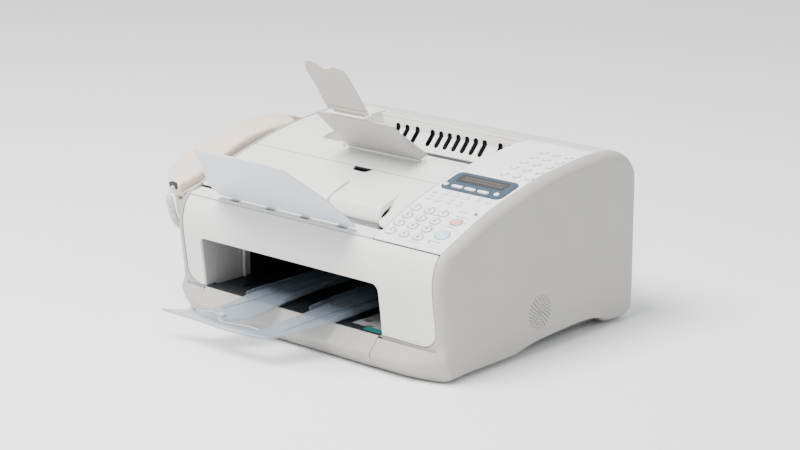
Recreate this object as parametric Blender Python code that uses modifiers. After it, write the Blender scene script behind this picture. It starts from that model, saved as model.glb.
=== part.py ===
"""Desktop laser fax machine with a handset, modelled in metres with +Z up.

Every length in this file is in millimetres in the machine's own frame and is
turned into metres by MM when a mesh is made.  In the machine's frame X runs
across the body from its centre plane, Y runs back from the top edge of the
front cover, and Z runs up from the desk.  A root empty moves that frame so
that the origin lies under the middle of the whole machine.
"""
import math

import bmesh
import bpy
from mathutils import Matrix, Vector

MM = 0.001
GAP = 0.3

# Driving dimensions of the body
HALF_WIDTH = 188.0
INNER_HALF = 176.5
WALL = 2.6
MID_SEAM_Y = 99.5
RIDGE_Y = 243.0
REAR_Y = 304.0
MACHINE_OFFSET = (27.5, -110.75, 0.0)

# Paper bay in the front cover
BAY_LEFT = -151.0
BAY_RIGHT = 102.0
BAY_FLOOR = 33.0
BAY_CEILING = 84.3
MOUTH_TOP = BAY_CEILING
BAY_DEPTH = 187.0

# Operation panel and recess behind the delivery tray
PANEL_LEFT = 88.0
RECESS_LEFT = -115.0
RECESS_RIGHT = 110.0
RECESS_FRONT = 139.0
RECESS_REAR = 236.0
RECESS_FLOOR = [(139.8, 170.0), (142.0, 165.0), (147.0, 161.8), (180.0, 160.6), (205.0, 160.2),
                (217.0, 160.4), (224.5, 163.0), (236.0, 175.2), (235.8, 180.4)]
RECESS_UNDER = [(238.3, 180.4), (238.4, 174.2), (226.0, 161.0), (217.6, 158.0), (205.0, 157.8),
                (180.0, 158.2), (146.5, 159.4), (140.5, 162.8), (137.4, 169.0)]

# Handset and its cradle lie on a slope beside the body
SLOPE = math.radians(14.0)
SLOPE_ORIGIN = (0.0, 4.0, 118.0)

# Height of the top surface over Y, front to ridge
TOP_POINTS = [(0, 130), (15, 136.2), (30, 142.7), (48, 150.5), (70, 158.8), (100, 167.5), (128, 174.8),
              (163, 181.7), (200, 186.0), (225, 188.2), (245, 188.5), (268, 186.8), (286, 180), (298, 170),
              (REAR_Y, 158)]
CHIN = [(-5.0, 34.0), (-19.5, 17.0), (-7.0, 1.5)]
FRONT_FACE = [(-2.5, 34.5), (-4.0, 50.0), (-6.5, 70.0), (-9.0, 90.0), (-9.6, 102.0), (-8.0, 114.0),
              (-4.2, 123.0), (1.0, 129.6)]


def colour(name, red, green, blue, rough, metal=0.0, alpha=1.0):
    material = bpy.data.materials.new(name)
    material.use_nodes = True
    shader = material.node_tree.nodes["Principled BSDF"]
    shader.inputs["Base Color"].default_value = (red, green, blue, 1.0)
    shader.inputs["Roughness"].default_value = rough
    shader.inputs["Metallic"].default_value = metal
    shader.inputs["Alpha"].default_value = alpha
    return material


def clear_scene():
    for item in list(bpy.data.objects):
        bpy.data.objects.remove(item, do_unlink=True)


def new_collection(name):
    group = bpy.data.collections.new(name)
    bpy.context.scene.collection.children.link(group)
    return group


def make_root():
    root = bpy.data.objects.new("machine_frame", None)
    root.location = Vector(MACHINE_OFFSET) * MM
    PARTS.objects.link(root)
    return root


def add_object(name, mesh, material):
    part = bpy.data.objects.new(name, mesh)
    part.parent = ROOT
    PARTS.objects.link(part)
    mesh.materials.clear()
    mesh.materials.append(material)
    return part


def set_pivot(part, pivot, turn=0.0):
    """Put the part's origin on its joint, with its own X-turn, and leave its shape where it is."""
    place = Matrix.Translation(Vector(pivot) * MM) @ Matrix.Rotation(turn, 4, "X")
    part.data.transform(place.inverted())
    part.location = Vector(pivot) * MM
    part.rotation_euler = (turn, 0.0, 0.0)


def as_mesh(curve_object):
    """Evaluate a curve object into a welded mesh and remove the curve."""
    bpy.context.view_layer.update()
    graph = bpy.context.evaluated_depsgraph_get()
    mesh = bpy.data.meshes.new_from_object(curve_object.evaluated_get(graph))
    place = curve_object.matrix_world.copy()
    bpy.data.objects.remove(curve_object, do_unlink=True)
    work = bmesh.new()
    work.from_mesh(mesh)
    work.transform(place)
    bmesh.ops.remove_doubles(work, verts=work.verts, dist=0.00001)
    bmesh.ops.dissolve_limit(work, angle_limit=0.001, verts=work.verts, edges=work.edges)
    bmesh.ops.recalc_face_normals(work, faces=work.faces)
    work.to_mesh(mesh)
    work.free()
    return mesh


AXES = {"X": Matrix(((0, 0, 1, 0), (1, 0, 0, 0), (0, 1, 0, 0), (0, 0, 0, 1))),
        "Y": Matrix(((1, 0, 0, 0), (0, 0, -1, 0), (0, 1, 0, 0), (0, 0, 0, 1))),
        "Z": Matrix.Identity(4)}


def prism(outline, axis, low, high):
    """A flat outline pushed along an axis.

    The outline is (y, z) for X, (x, z) for Y and (x, y) for Z.
    """
    curve = bpy.data.curves.new("outline", "CURVE")
    curve.dimensions = "2D"
    curve.fill_mode = "BOTH"
    curve.extrude = (high - low) / 2 * MM
    spline = curve.splines.new("POLY")
    spline.points.add(len(outline) - 1)
    for point, (u, v) in zip(spline.points, outline):
        point.co = (u * MM, v * MM, 0.0, 1.0)
    spline.use_cyclic_u = True
    flat = bpy.data.objects.new("outline", curve)
    middle = (high + low) / 2 * MM
    side = -middle if axis == "Y" else middle
    flat.matrix_world = AXES[axis] @ Matrix.Translation((0.0, 0.0, side))
    bpy.context.scene.collection.objects.link(flat)
    return as_mesh(flat)


def box_mesh(low, high):
    work = bmesh.new()
    bmesh.ops.create_cube(work, size=1.0)
    size = [(b - a) * MM for a, b in zip(low, high)]
    centre = [(b + a) / 2 * MM for a, b in zip(low, high)]
    work.transform(Matrix.Translation(centre) @ Matrix.Diagonal((*size, 1.0)))
    mesh = bpy.data.meshes.new("box")
    work.to_mesh(mesh)
    work.free()
    return mesh


def rod_mesh(centre, radius, length, axis="X", sides=16):
    work = bmesh.new()
    bmesh.ops.create_cone(work, cap_ends=True, segments=sides, radius1=radius * MM, radius2=radius * MM,
                          depth=length * MM)
    turn = {"X": Matrix.Rotation(math.pi / 2, 4, "Y"), "Y": Matrix.Rotation(math.pi / 2, 4, "X"),
            "Z": Matrix.Identity(4)}[axis]
    work.transform(Matrix.Translation(Vector(centre) * MM) @ turn)
    mesh = bpy.data.meshes.new("rod")
    work.to_mesh(mesh)
    work.free()
    return mesh


def combine(part, mesh, operation):
    """Apply a mesh to a part with a Boolean, kept as a modifier with its tool hidden."""
    tool = bpy.data.objects.new(part.name + "_tool", mesh)
    tool.parent = ROOT
    tool.hide_render = True
    tool.display_type = "WIRE"
    CUTTERS.objects.link(tool)
    modifier = part.modifiers.new(operation.title(), "BOOLEAN")
    modifier.operation = operation
    modifier.solver = "EXACT"
    modifier.object = tool
    return tool


def cut(part, mesh):
    return combine(part, mesh, "DIFFERENCE")


def join(part, mesh):
    return combine(part, mesh, "UNION")


def bevel(part, width, segments=2, angle=40.0):
    modifier = part.modifiers.new("Bevel", "BEVEL")
    modifier.width = width * MM
    modifier.segments = segments
    modifier.limit_method = "ANGLE"
    modifier.angle_limit = math.radians(angle)
    modifier.use_clamp_overlap = True


def top_z(y):
    """Height of the top surface at depth y."""
    for (y0, z0), (y1, z1) in zip(TOP_POINTS, TOP_POINTS[1:]):
        if y <= y1:
            return z0 + (z1 - z0) * (y - y0) / (y1 - y0)
    return TOP_POINTS[-1][1]


def top_path(start, end):
    """Points of the top surface from depth start to depth end."""
    inner = [point for point in TOP_POINTS if start + 1.0 < point[0] < end - 1.0]
    return [(start, top_z(start))] + inner + [(end, top_z(end))]


def offset_path(path, distance):
    """The path moved to its right-hand side by a distance."""
    moved = []
    for index, (u, v) in enumerate(path):
        before = path[max(index - 1, 0)]
        after = path[min(index + 1, len(path) - 1)]
        du, dv = after[0] - before[0], after[1] - before[1]
        length = math.hypot(du, dv)
        moved.append((u + dv / length * distance, v - du / length * distance))
    return moved


def band(path, thickness=WALL):
    """Closed outline of a wall whose outer face follows the path."""
    return path + offset_path(path, thickness)[::-1]


def rounded(corners, steps=4):
    """Outline from (u, v, radius) corners, each rounded by an arc."""
    points = []
    count = len(corners)
    for index, (u, v, radius) in enumerate(corners):
        if radius == 0:
            points.append((u, v))
            continue
        here = Vector((u, v))
        back = (Vector(corners[index - 1][:2]) - here).normalized()
        ahead = (Vector(corners[(index + 1) % count][:2]) - here).normalized()
        half = back.angle(ahead) / 2
        centre = here + (back + ahead).normalized() * (radius / math.sin(half))
        start = here + back * (radius / math.tan(half)) - centre
        turn = back.angle_signed(ahead)
        sweep = math.copysign(math.pi - 2 * half, turn)
        for step in range(steps + 1):
            spin = Matrix.Rotation(sweep * step / steps, 2)
            points.append(tuple(centre + spin @ start))
    return points


def slope_point(along, up):
    """Machine (y, z) of a point on the handset's slope."""
    y = SLOPE_ORIGIN[1] + along * math.cos(SLOPE) - up * math.sin(SLOPE)
    z = SLOPE_ORIGIN[2] + along * math.sin(SLOPE) + up * math.cos(SLOPE)
    return y, z


def on_slope(outline):
    return [slope_point(along, up) for along, up in outline]


def build_base_pan():
    """Bottom tray with four round feet."""
    pan = add_object("base_pan", box_mesh((-171, 9, 4), (171, 288, 16)), FRAME_GREY)
    cut(pan, box_mesh((-168.5, 11.5, 6.5), (168.5, 285.5, 30)))
    for x in (-FOOT_X, FOOT_X):
        for y in FOOT_Y:
            join(pan, rod_mesh((x, y, 2.5), 9.0, 5.0, "Z", 16))


def side_outline(arch):
    """Outline of a side cover: chin, front face, top and rear, with a low arch underneath."""
    front = CHIN[::-1] + [(-4.5, 35.0)] + FRONT_FACE[1:-1] + [(0.5, 130.3)]
    rear = [(REAR_Y, 24.0), (300.0, 10.0), (289.0, 4.0), (258.0, 4.0)]
    under = [(246.0, 10.0), (222.0, 14.0), (176.0, 12.7), (140.0, 10.5), (112.0, 4.0)] if arch else []
    return front + top_path(8.0, REAR_Y)[:-1] + [(REAR_Y, 158.0)] + rear + under + [(20.0, 4.0)]


def build_side_cover(name, sign):
    """A deep dish on each side with its share of the chin and a flange behind the front cover."""
    low, high = sorted((sign * (INNER_HALF + GAP), sign * HALF_WIDTH))
    part = add_object(name, prism(side_outline(True), "X", low, high), SHELL_GREY)
    slab = bmesh.new()
    slab.from_mesh(part.data)
    outer = HALF_WIDTH * MM
    rim = [edge for edge in slab.edges if all(abs(abs(v.co.x) - outer) < 1e-5 for v in edge.verts)]
    bmesh.ops.bevel(slab, geom=rim, offset=5.0 * MM, segments=2, profile=0.5, affect="EDGES")
    slab.to_mesh(part.data)
    slab.free()
    edge = BAY_LEFT + 2.4 if sign < 0 else BAY_RIGHT - 0.4
    span = sorted((edge + sign * GAP, sign * (INNER_HALF + 4)))
    join(part, prism(CHIN + [(7.5, 1.5), (7.5, 34.0)], "X", *span))
    flange = sorted((sign * 157.0, sign * (INNER_HALF + 6)))
    join(part, box_mesh((flange[0], 2.6, 29.0), (flange[1], 6.2, 110.0)))
    hollow = [(7.0, 38.0), (7.0, 122.0), (34.0, 136.0), (66.0, 149.0), (100.0, 159.5), (163.0, 174.0),
              (225.0, 180.5), (262.0, 179.0), (282.0, 172.0), (298.0, 152.0), (298.0, 28.0), (284.0, 18.0),
              (20.0, 18.0)]
    inside = sorted((sign * (INNER_HALF - 1), sign * (HALF_WIDTH - 3)))
    cut(part, prism(hollow, "X", *inside))
    for modifier in part.modifiers:
        modifier.solver = "MANIFOLD"


def build_chin():
    outline = CHIN + [(7.5, 1.5), (7.5, 34.0)]
    chin = add_object("chin_cover", prism(outline, "X", BAY_LEFT + 2.4, BAY_RIGHT - 0.4), SHELL_GREY)
    cut(chin, prism([(-3.0, 29.0), (-13.0, 17.0), (-5.0, 7.0), (12.0, 7.0), (12.0, 29.0)], "X",
                    BAY_LEFT + 6, BAY_RIGHT - 4))


def build_bay_liner():
    outside = box_mesh((BAY_LEFT - 2.5, 8.0, 30.5), (BAY_RIGHT + 2.5, BAY_DEPTH + 2.5, 87))
    part = add_object("bay_liner", outside, BAY_DARK)
    cut(part, box_mesh((BAY_LEFT, 0.0, BAY_FLOOR), (BAY_RIGHT, BAY_DEPTH, BAY_CEILING)))


def build_front_cover():
    """Inverted-U cover that swings forward about its lower edge."""
    outer = FRONT_FACE
    inner = offset_path(outer, WALL)
    inner[-1] = (2.4, 127.0)
    width = INNER_HALF - GAP
    part = add_object("front_cover", prism(outer + inner[::-1], "X", -width, width), SHELL_WHITE)
    corner = 18.0
    inset = 6.0
    shape = rounded([(-width, 140, 0), (-width, 34.5, corner), (BAY_LEFT, 34.5, 0),
                     (BAY_LEFT, MOUTH_TOP, inset),
                     (BAY_RIGHT, MOUTH_TOP, inset + 3), (BAY_RIGHT, 34.5, 0), (width, 34.5, corner),
                     (width, 140, 0)])
    combine(part, prism(shape, "Y", -40, 40), "INTERSECT")
    set_pivot(part, FRONT_COVER_PIVOT)


def build_document_bed():
    """White strip along the top front edge and the bed that documents slide over."""
    outline = [(3.3, 131.4), (10.0, 132.8), (19.5, 134.4), (19.5, 126.0), (40.0, 125.5), (60.0, 135.0),
               (98.5, 157.5), (98.5, 155.0), (61.0, 132.6), (40.5, 123.0), (17.0, 123.5), (17.0, 131.2),
               (6.0, 129.0), (6.0, 110.0), (3.3, 110.0)]
    part = add_object("document_bed", prism(outline, "X", -INNER_HALF + GAP, PANEL_LEFT - GAP), SHELL_WHITE)
    for x in TRAY_LUGS:
        cut(part, box_mesh((x - 6.5, 6.6, 124), (x + 6.5, 12.4, 145)))
    cut(part, box_mesh((-102, ROLLER_Y - 9.5, 118), (62, ROLLER_Y + 9.5, 160)))


def build_adf_cover():
    """Cover of the document feeder, hinged along the middle seam."""
    front = top_path(20.4, MID_SEAM_Y - GAP)
    outline = band(front)
    outline[-1] = (20.8, 136.2)
    outline.insert(-1, (23.0, 136.6))
    part = add_object("adf_cover", prism(outline, "X", -INNER_HALF + GAP, PANEL_LEFT - GAP), SHELL_WHITE)
    cut(part, box_mesh((GUIDE_REACH, 10, 120), (FEED_RIGHT, FEED_FRONT, 160)))
    back = FEED_FRONT + 0.4
    join(part, box_mesh((GUIDE_REACH - 1, FEED_FRONT - 2.4, 139.0), (FEED_RIGHT + 1, back, 143.8)))
    cut(part, prism([(-27, 101), (-27, 97), (-23, 91.5), (-5, 91.5), (-2, 97), (-2, 101)], "Z", 140, 180))
    set_pivot(part, ADF_PIVOT)


def build_document_guide():
    """Sliding edge guide that laps over the front edge of the feeder cover."""
    over = [(y, top_z(y) + 0.5) for y in (70.0, 48.0, 36.0)]
    tip = [(FEED_FRONT - 3.0, top_z(FEED_FRONT) + 0.4), (FEED_FRONT - 3.0, 137.2)]
    face = [(FEED_FRONT - 6.0, 137.2), (FEED_FRONT - 6.0, 144.5)]
    top = [(36.0, top_z(36.0) + 3.5), (48.0, top_z(48.0) + 3.6), (70.0, top_z(70.0) + 3.0)]
    part = add_object("document_guide", prism(over + tip + face + top, "X", *GUIDE_SPAN), SHELL_LIGHT)
    middle = sum(GUIDE_SPAN) / 2
    set_pivot(part, (middle, 48.0, 150.5))


def plate_outline(base_left, base_right, top_left, top_right, length, radius):
    return rounded([(base_left, 0, 2), (base_right, 0, 2), (top_right, length, radius),
                    (top_left, length, radius)])


def leaning(mesh, pivot, angle):
    """Turn a plate drawn flat in XY so that its +Y leans forward and up from the pivot."""
    hinge = Vector((0.0, pivot[1], pivot[2])) * MM
    mesh.transform(Matrix.Translation(hinge) @ Matrix.Rotation(math.pi - angle, 4, "X"))
    return mesh


def build_document_tray():
    """Clear plate on four lugs that carries the originals."""
    shape = rounded([(-137, 4, 2), (-131, 28, 20), (-105, 71, 40), (-79, 117, 3), (44, TRAY_LENGTH, 12),
                     (62, 58, 50), (63, 4, 2)])
    flat = prism(shape, "Z", -1.0, 1.0)
    part = add_object("document_tray", leaning(flat, TRAY_PIVOT, TRAY_ANGLE), CLEAR_PALE)
    for x in TRAY_LUGS:
        lug = box_mesh((x - 4.5, 0.0, -1.5), (x + 4.5, 8.0, 0.6))
        join(part, leaning(lug, TRAY_PIVOT, TRAY_ANGLE))
        join(part, rod_mesh((x, TRAY_PIVOT[1], TRAY_PIVOT[2]), 1.9, 9.0, "X", 12))
    set_pivot(part, TRAY_PIVOT)


def build_output_tray():
    """Panel that carries the printed sheets, with a low wall at its right edge."""
    flat = prism(plate_outline(-66, 37, -72, 40.5, OUTPUT_LENGTH - 1.0, 4), "Z", -1.1, 1.1)
    part = add_object("output_tray", leaning(flat, OUTPUT_PIVOT, OUTPUT_ANGLE), SHELL_WHITE)
    wall = prism([(1.0, 0.0), (OUTPUT_LENGTH - 6.0, 0.0), (-7.0, -11.0)], "X", 34.5, 37.0)
    join(part, leaning(wall, OUTPUT_PIVOT, OUTPUT_ANGLE))
    join(part, rod_mesh((-14.5, OUTPUT_PIVOT[1], OUTPUT_PIVOT[2]), 1.7, 106.0, "X", 12))
    set_pivot(part, OUTPUT_PIVOT)


def build_output_extension():
    """Wavy-topped tongue that lengthens the output tray."""
    half = TONGUE_LENGTH - 5
    shape = rounded([(-50, 0, 1), (9, 0, 1), (6, half, 9), (-9, TONGUE_LENGTH, 8), (-21, half, 12),
                     (-34, TONGUE_LENGTH + 3, 8), (-50, half + 2, 6)], 3)
    flat = prism(shape, "Z", -1.0, 1.0)
    part = add_object("output_extension", leaning(flat, TONGUE_PIVOT, TONGUE_ANGLE), TONGUE_GREY)
    join(part, rod_mesh((-20.5, TONGUE_PIVOT[1], TONGUE_PIVOT[2]), 1.5, 58.0, "X", 12))
    set_pivot(part, TONGUE_PIVOT)


def build_top_rear_cover():
    """White cover behind the middle seam, with the delivery recess and its vent wall."""
    outline = band(top_path(MID_SEAM_Y + GAP, RIDGE_Y))
    body = prism(outline, "X", -INNER_HALF + GAP, PANEL_LEFT - GAP)
    part = add_object("top_rear_cover", body, SHELL_WHITE)
    cut(part, box_mesh((RECESS_LEFT, RECESS_FRONT, 150), (PANEL_LEFT + 2, RECESS_REAR, 200)))
    open_wall = [(136.6, 175.4), (138.8, 175.8)] + RECESS_FLOOR + [(236.2, 187.0), (238.4, 187.0)]
    open_wall += RECESS_UNDER
    join(part, prism(open_wall, "X", RECESS_LEFT - 2, PANEL_LEFT - 1))
    low_wall = [(136.6, 173.2), (138.8, 173.6)] + RECESS_FLOOR + [(236.2, 185.0), (238.4, 185.0)]
    low_wall += RECESS_UNDER
    join(part, prism(low_wall, "X", PANEL_LEFT - 4, RECESS_RIGHT + 2))
    cheek = [(163.0, 180.0), (200.0, 184.6), (238.2, 186.8)] + RECESS_UNDER + [(136.8, 175.4)]
    join(part, prism(cheek, "X", RECESS_LEFT - 2.2, RECESS_LEFT))
    low_cheek = [(163.0, 178.4), (200.0, 182.8), (238.2, 184.8)] + RECESS_UNDER + [(136.8, 173.2)]
    join(part, prism(low_cheek, "X", RECESS_RIGHT, RECESS_RIGHT + 2.2))
    cut(part, box_mesh((RECESS_LEFT + 8, 205.0, 150), (RECESS_RIGHT - 8, 217.0, 175)))
    for x in VENT_X:
        cut(part, box_mesh((x - 3.0, 219.0, 163.6), (x + 3.0, 240.0, 180.4)))
    for x in (-72.0, 41.0):
        join(part, box_mesh((x - 1.5, 126.5, 172), (x + 1.5, 133.5, 181.5)))


def build_rear_cover():
    """Grey cover from the ridge over the back and down to the base."""
    path = top_path(RIDGE_Y + GAP, REAR_Y) + [(REAR_Y, 24.0), (300.0, 10.0), (292.0, 4.0)]
    part = add_object("rear_cover", prism(band(path), "X", -INNER_HALF + GAP, INNER_HALF - GAP), SHELL_GREY)
    for low, high in ((INLET_BOX, INLET_TOP), (JACK_BOX, JACK_TOP)):
        grown_low = [value - GAP for value in low]
        grown_high = [value + GAP for value in high]
        cut(part, box_mesh((grown_low[0], 295, grown_low[2]), (grown_high[0], 310, grown_high[2])))


def build_rear_sockets():
    """Mains inlet and twin line jack that sit in the back."""
    inlet = add_object("power_inlet", box_mesh(INLET_BOX, INLET_TOP), SOCKET_BLACK)
    cut(inlet, box_mesh((INLET_BOX[0] + 2, 299, INLET_BOX[2] + 2),
                        (INLET_TOP[0] - 2, 308, INLET_TOP[2] - 2)))
    for x in (-7.0, 0.0, 7.0):
        middle = (INLET_BOX[0] + INLET_TOP[0]) / 2 + x
        join(inlet, box_mesh((middle - 1, 298, 43), (middle + 1, 303.5, 48)))
    jacks = add_object("line_jacks", box_mesh(JACK_BOX, JACK_TOP), SOCKET_BLACK)
    for x in (JACK_BOX[0] + 2, JACK_BOX[0] + 16):
        cut(jacks, box_mesh((x, 299, JACK_BOX[2] + 2), (x + 11.5, 308, JACK_TOP[2] - 2)))


def build_operation_panel():
    """White key panel that follows the top surface, with a hole under every key."""
    outline = band(top_path(3.3, 242.6), 2.2)
    body = prism(outline, "X", PANEL_LEFT + GAP, INNER_HALF - GAP)
    part = add_object("operation_panel", body, SHELL_WHITE)
    for name, x, y, width, depth, sides in KEYS:
        cut(part, key_mesh(x, y, width + 0.8, depth + 0.8, sides, -5.0, 5.0))
    return part


def build_display():
    """Slate bezel with a dark window and three holes for the display keys."""
    y0, y1 = BEZEL_Y
    path = [(y, top_z(y) + 1.5) for y in (y0, 100.0, y1)]
    lower = [(y, top_z(y) + 0.4) for y in (y1, 100.0, y0)]
    bezel = add_object("display_bezel", prism(path + lower, "X", *BEZEL_X), BEZEL_BLUE)
    for name, x, y, width, depth, sides in KEYS:
        if name.startswith("display"):
            cut(bezel, key_mesh(x, y, width + 0.8, depth + 0.8, sides, -5.0, 5.0))
    glass = [(y, top_z(y) + 2.3) for y in (109.0, 122.0)] + [(y, top_z(y) + 1.8) for y in (122.0, 109.0)]
    add_object("display_window", prism(glass, "X", 103.0, 163.0), GLASS_DARK)


def surface_frame(x, y):
    """Matrix whose origin lies on the top surface and whose Z is the surface normal."""
    rise = math.atan2(top_z(y + 2) - top_z(y - 2), 4.0)
    return Matrix.Translation(Vector((x, y, top_z(y))) * MM) @ Matrix.Rotation(rise, 4, "X")


def key_mesh(x, y, width, depth, sides, low, high):
    work = bmesh.new()
    bmesh.ops.create_cone(work, cap_ends=True, segments=sides, radius1=0.5 * MM, radius2=0.5 * MM,
                          depth=(high - low) * MM)
    stretch = Matrix.Diagonal((width, depth, 1.0, 1.0))
    lift = Matrix.Translation((0, 0, (high + low) / 2 * MM))
    work.transform(surface_frame(x, y) @ lift @ stretch)
    mesh = bpy.data.meshes.new("key")
    work.to_mesh(mesh)
    work.free()
    return mesh


def build_keys():
    for name, x, y, width, depth, sides in KEYS:
        proud = 2.9 if name.startswith("display") else 1.2
        material = KEY_FINISH.get(name, KEY_WHITE)
        key = add_object(name, key_mesh(x, y, width, depth, sides, -3.4, proud), material)
        rise = math.atan2(top_z(y + 2) - top_z(y - 2), 4.0)
        set_pivot(key, (x, y, top_z(y)), rise)


def build_toner_cartridge():
    outline = rounded([(28, 90, 4), (128, 90, 4), (128, 112, 6), (92, 112, 2), (60, 118, 10),
                       (28, 112, 8)], 2)
    part = add_object("toner_cartridge", prism(outline, "X", -112, 112), CARTRIDGE_BLACK)
    cut(part, box_mesh((-40, 20, 100), (40, 36, 108)))


def build_rollers():
    feed = add_object("feed_roller", rod_mesh((-20, ROLLER_Y, 128.0), 6.0, 150, "X", 16), RUBBER)
    set_pivot(feed, (-20, ROLLER_Y, 128.0))
    exit_roller = add_object("exit_roller", rod_mesh((-2, 197, 149.5), 7.0, 200, "X", 16), RUBBER)
    set_pivot(exit_roller, (-2, 197, 149.5))


def build_paper_tray():
    """Smoke-tinted tray: two long rails joined by a pointed lip that droops in front of the machine."""
    top = BAY_FLOOR + 7.0
    side = [(122, top), (0, top), (-90, top - 11.25), (-90, top - 14.25), (0, top - 3.0), (122, top - 3.0)]
    part = add_object("paper_tray", prism(side, "X", -145, 50), SMOKE_CLEAR)
    plan = [(-86, 122), (-84, -8), (-92, -52), (-99, -62), (-137, -79), (-86, -79), (-41, -82),
            (-27, -81), (13, -76), (21, -73), (46, -10), (46, 122), (-6, 122), (4, -12), (-5, -53),
            (-5, -62), (-59, -66), (-44, -57), (-34, -13), (-42, 50), (-42, 122)]
    combine(part, prism(plan, "Z", 20, 50), "INTERSECT")
    for x in (-85, -44, -5, 43):
        join(part, box_mesh((x, 1, top - 1), (x + 2, 118, top + 3)))
    set_pivot(part, (-20, 0, top))


def slope_prism(plan, low, high):
    """Prism whose plan (x, along) lies on the handset's slope, between two heights above it."""
    mesh = prism(plan, "Z", low, high)
    lift = Matrix.Translation(Vector(SLOPE_ORIGIN) * MM)
    mesh.transform(lift @ Matrix.Rotation(SLOPE, 4, "X"))
    return mesh


def build_cradle():
    """Shelf on the left side that the handset lies in, with rounded outer corners."""
    wall = -HALF_WIDTH - GAP
    body = on_slope([(1.5, -0.5), (3, -14), (9, -22), (190, -22), (203, -10), (203, 10), (1.5, 10)])
    part = add_object("handset_cradle", prism(body, "X", CRADLE_LEFT, wall), HANDSET_BEIGE)
    plan = [(wall, -20), (-195, -20), (-195, 4.2), (-205, 7), (-214, 10.5), (-223, 17), (-231, 26),
            (-239, 44), (-239, 184), (-235, 195), (-224, 203), (wall, 203)]
    combine(part, slope_prism(plan, -60, 40), "INTERSECT")
    for start, end in ((-5, 56), (145, 200.8)):
        well = on_slope([(start, -0.5), (end, -0.5), (end, 20), (start, 20)])
        cut(part, prism(well, "X", CRADLE_LEFT - 5, -HALF_WIDTH - 3))
    slot = on_slope([(102, -30), (112, -30), (112, 20), (102, 20)])
    cut(part, prism(slot, "X", -221, -211))
    bracket = [(wall, 94), (-194, 95), (-202, 104), (-205, 118), (wall, 118)]
    join(part, prism(bracket, "Y", 7, 18))
    join(part, prism([(x, z + 34) for x, z in bracket], "Y", 150, 162))


def build_handset():
    """Crowned handset, rounded in plan, with its mouth and ear caps pointing down."""
    outline = on_slope([(2, 8), (4, 1), (49, 1), (55, 12), (145, 12), (151, 1), (194, 1), (198, 4),
                        (200, 9), (192, 13.6), (180, 17.8), (160, 22.8), (137, 27), (108, 29.6),
                        (85, 28.3), (68, 25.6), (35, 21.6), (8, 20.4), (3, 18.5)])
    part = add_object("handset", prism(outline, "X", HANDSET_X[0], HANDSET_X[1]), HANDSET_BEIGE)
    plan = [(-192.5, 3.4), (-207, 5.6), (-217, 9.2), (-226, 15.5), (-234, 24), (-240, 36), (-243, 52),
            (-243, 176), (-240.5, 187), (-235, 194), (-226, 198.3), (-217, 198.3), (-208, 194.5),
            (-200, 189), (-195, 183), (-192.5, 176)]
    combine(part, slope_prism(plan, -10, 50), "INTERSECT")
    bevel(part, 3.0, 2, 40.0)
    set_pivot(part, ((HANDSET_X[0] + HANDSET_X[1]) / 2, *slope_point(100, 12)), SLOPE)


def build_hook_switch():
    outline = on_slope([(102.6, -8), (111.4, -8), (111.4, 11.2), (102.6, 11.2)])
    part = add_object("hook_switch", prism(outline, "X", -220.4, -211.6), KEY_WHITE)
    set_pivot(part, (-216, *slope_point(107, 11.2)), SLOPE)


def smooth_route(points, steps):
    """Points along a Catmull-Rom curve through the given points."""
    ends = [points[0]] + points + [points[-1]]
    route = []
    for index in range(len(points) - 1):
        p0, p1, p2, p3 = (Vector(ends[index + k]) for k in range(4))
        for step in range(steps):
            t = step / steps
            route.append(0.5 * (2 * p1 + (p2 - p0) * t + (2 * p0 - 5 * p1 + 4 * p2 - p3) * t * t
                                + (3 * p1 - p0 - 3 * p2 + p3) * t ** 3))
    return route + [Vector(points[-1])]


def build_cord():
    """Curly handset cord as one fat tube of its outer diameter."""
    curve = bpy.data.curves.new("handset_cord", "CURVE")
    curve.dimensions = "3D"
    curve.bevel_depth = CORD_DIAMETER / 2 * MM
    curve.bevel_resolution = 2
    curve.use_fill_caps = True
    route = smooth_route(CORD_ROUTE, 3)
    spline = curve.splines.new("POLY")
    spline.points.add(len(route) - 1)
    for point, place in zip(spline.points, route):
        point.co = (*(place * MM), 1.0)
    cord = bpy.data.objects.new("handset_cord", curve)
    curve.materials.append(CORD_WHITE)
    cord.parent = ROOT
    PARTS.objects.link(cord)


def key_table():
    """Every moving key: name, centre x and y, width, depth and number of sides."""
    rows = []
    for row, y in enumerate((54.0, 41.6, 29.3, 16.4)):
        for column, x in enumerate((98.5, 116.5, 134.5)):
            rows.append(("key_" + "123456789s0p"[row * 3 + column], x, y, 11.0, 7.6, 12))
    for row in range(5):
        for column in range(3):
            x = 138.2 + 16.4 * column - 0.75 * row
            rows.append(("one_touch_%02d" % (row * 3 + column + 1), x, 143.3 + 17.0 * row, 7.6, 5.6, 10))
    rows.append(("stop_key", 157.5, 46.9, 12.5, 9.5, 14))
    rows.append(("start_key", 157.2, 26.6, 15.0, 12.5, 16))
    for number, x in enumerate((114.1, 130.8, 147.8)):
        rows.append(("display_key_%d" % (number + 1), x, 99.0, 14.0, 4.4, 10))
    return rows


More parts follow.
